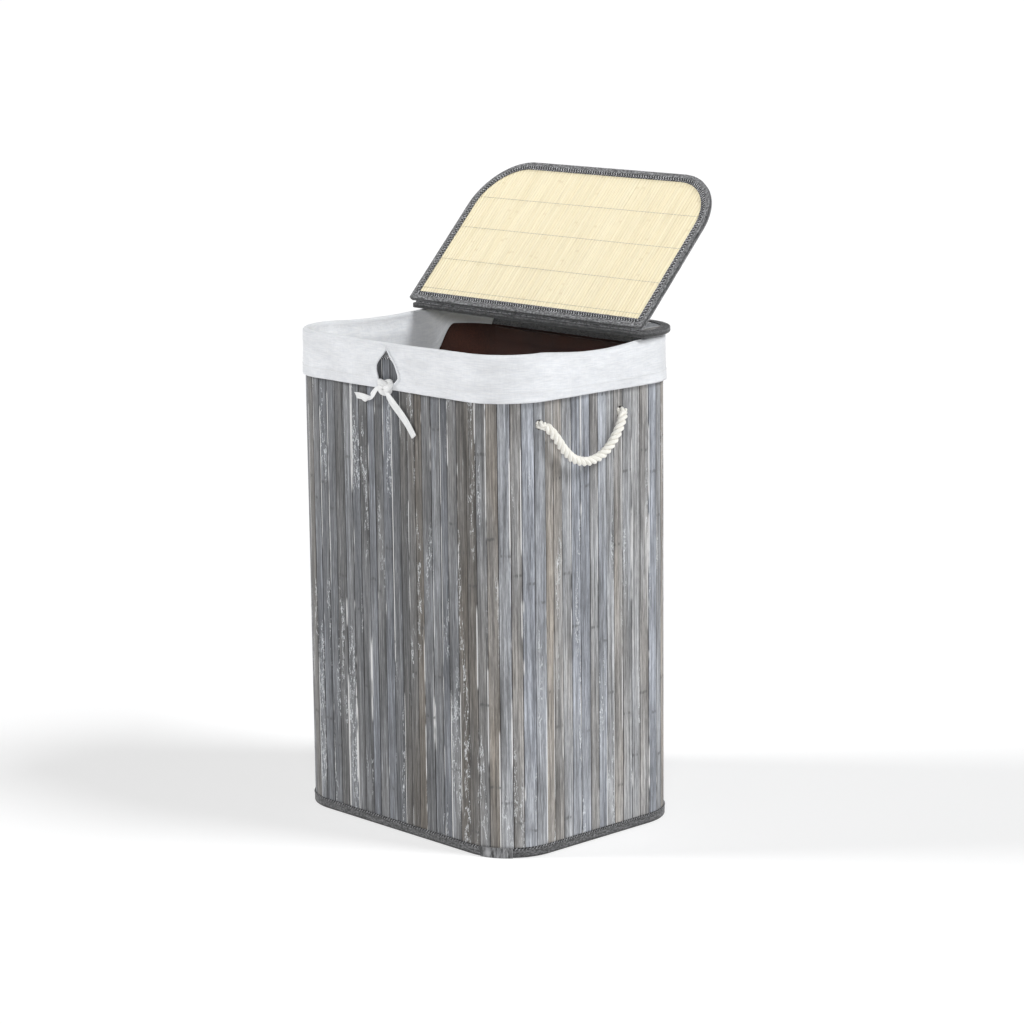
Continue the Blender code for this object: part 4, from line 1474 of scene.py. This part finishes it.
def build_bag():
    """The bag: it hangs from the rim in loose upright folds and lies on the base board."""
    places, outs, along = wall_outline(0.0075)
    stations = range(len(places))
    turn_high = BAG_LOW + 0.014

    def hung(i, z):
        inset = bag_inset(outs[i], z)
        z -= 0.0085 * smoothstep(outs[i][1], 0.1, 0.9) * smoothstep(z, 0.45, BAG_HIGH)
        free = smoothstep(BAG_HIGH - z, 0.0, 0.05) * smoothstep(z, BAG_LOW, 0.06)
        fold = ripple(along[i], z * 0.12, 0.030, 21.0) + 0.5 * ripple(along[i], z * 0.3, 0.013, 25.0)
        crumple = ripple(along[i], z, 0.022, 31.0)
        inset += free * (0.0034 * max(fold + 0.25, 0.0) + 0.0012 * max(crumple, 0.0))
        return (*(places[i] - inset * outs[i]), z)

    def turned(i, angle):
        inset = bag_inset(outs[i], BAG_LOW) + 0.013 * (1 - math.cos(angle))
        return (*(places[i] - inset * outs[i]), turn_high - 0.0132 * math.sin(angle))

    rows = [[hung(i, z) for i in stations] for z in np.linspace(BAG_HIGH + 0.002, turn_high, 62)]
    rows += [[turned(i, math.radians(90) * k / 4) for i in stations] for k in range(1, 5)]
    rim = rows[-1]
    for share in (0.9, 0.78, 0.64, 0.5, 0.36, 0.22, 0.1):
        row = []
        for x, y, z in rim:
            x *= share
            y *= share
            row.append((x, y, z + 0.0016 * max(ripple(x, y, 0.03, 41.0), 0.0)))
        rows.append(row)
    points = np.array(rows)
    spots = np.zeros((len(rows), len(places) + 1, 2))
    spots[:, :, 0] = along
    spots[:, :, 1] = distances(points[:, 0])[:, None]
    shape = Shape()
    shape.grid(points, spots, ring=True)
    # the middle of its bottom
    start = len(shape.points) - len(places)
    shape.faces.append([start + i for i in stations])
    shape.places.extend(map(tuple, points[-1, :, :2]))
    shape.tones.extend([PLAIN] * len(places))
    bag = piece("liner_bag_cloth", shape, "cotton", "hamper", ("liner_bag",), angle=0)
    solidified(bag, CLOTH)


# ---------------------------------------------------------------- everything


def finish_cad_nodes():
    """Gives the CAD nodes that keep their shape a material."""
    for material, names in (
        (brown_cloth(), ("wall_backing", "base_hinge_tape", "rim_batten_back")),
        (batten_wood(), ("rim_batten_front", "rim_batten_left", "rim_batten_right")),
        (fibre_board(), ("base_board", "lid_strip_board", "lid_flap_board")),
        (hook_and_loop(), ("liner_fastener",)),
    ):
        for name in names:
            frame["nodes"][name].material_slots[0].material = material


add_studio()
for side, word in ((1, "right"), (-1, "left")):
    build_handle(side, word)
build_tie()
build_walls()
build_wall_bindings()
build_lid()
build_cuff()
build_bag()
finish_cad_nodes()

bpy.context.view_layer.update()
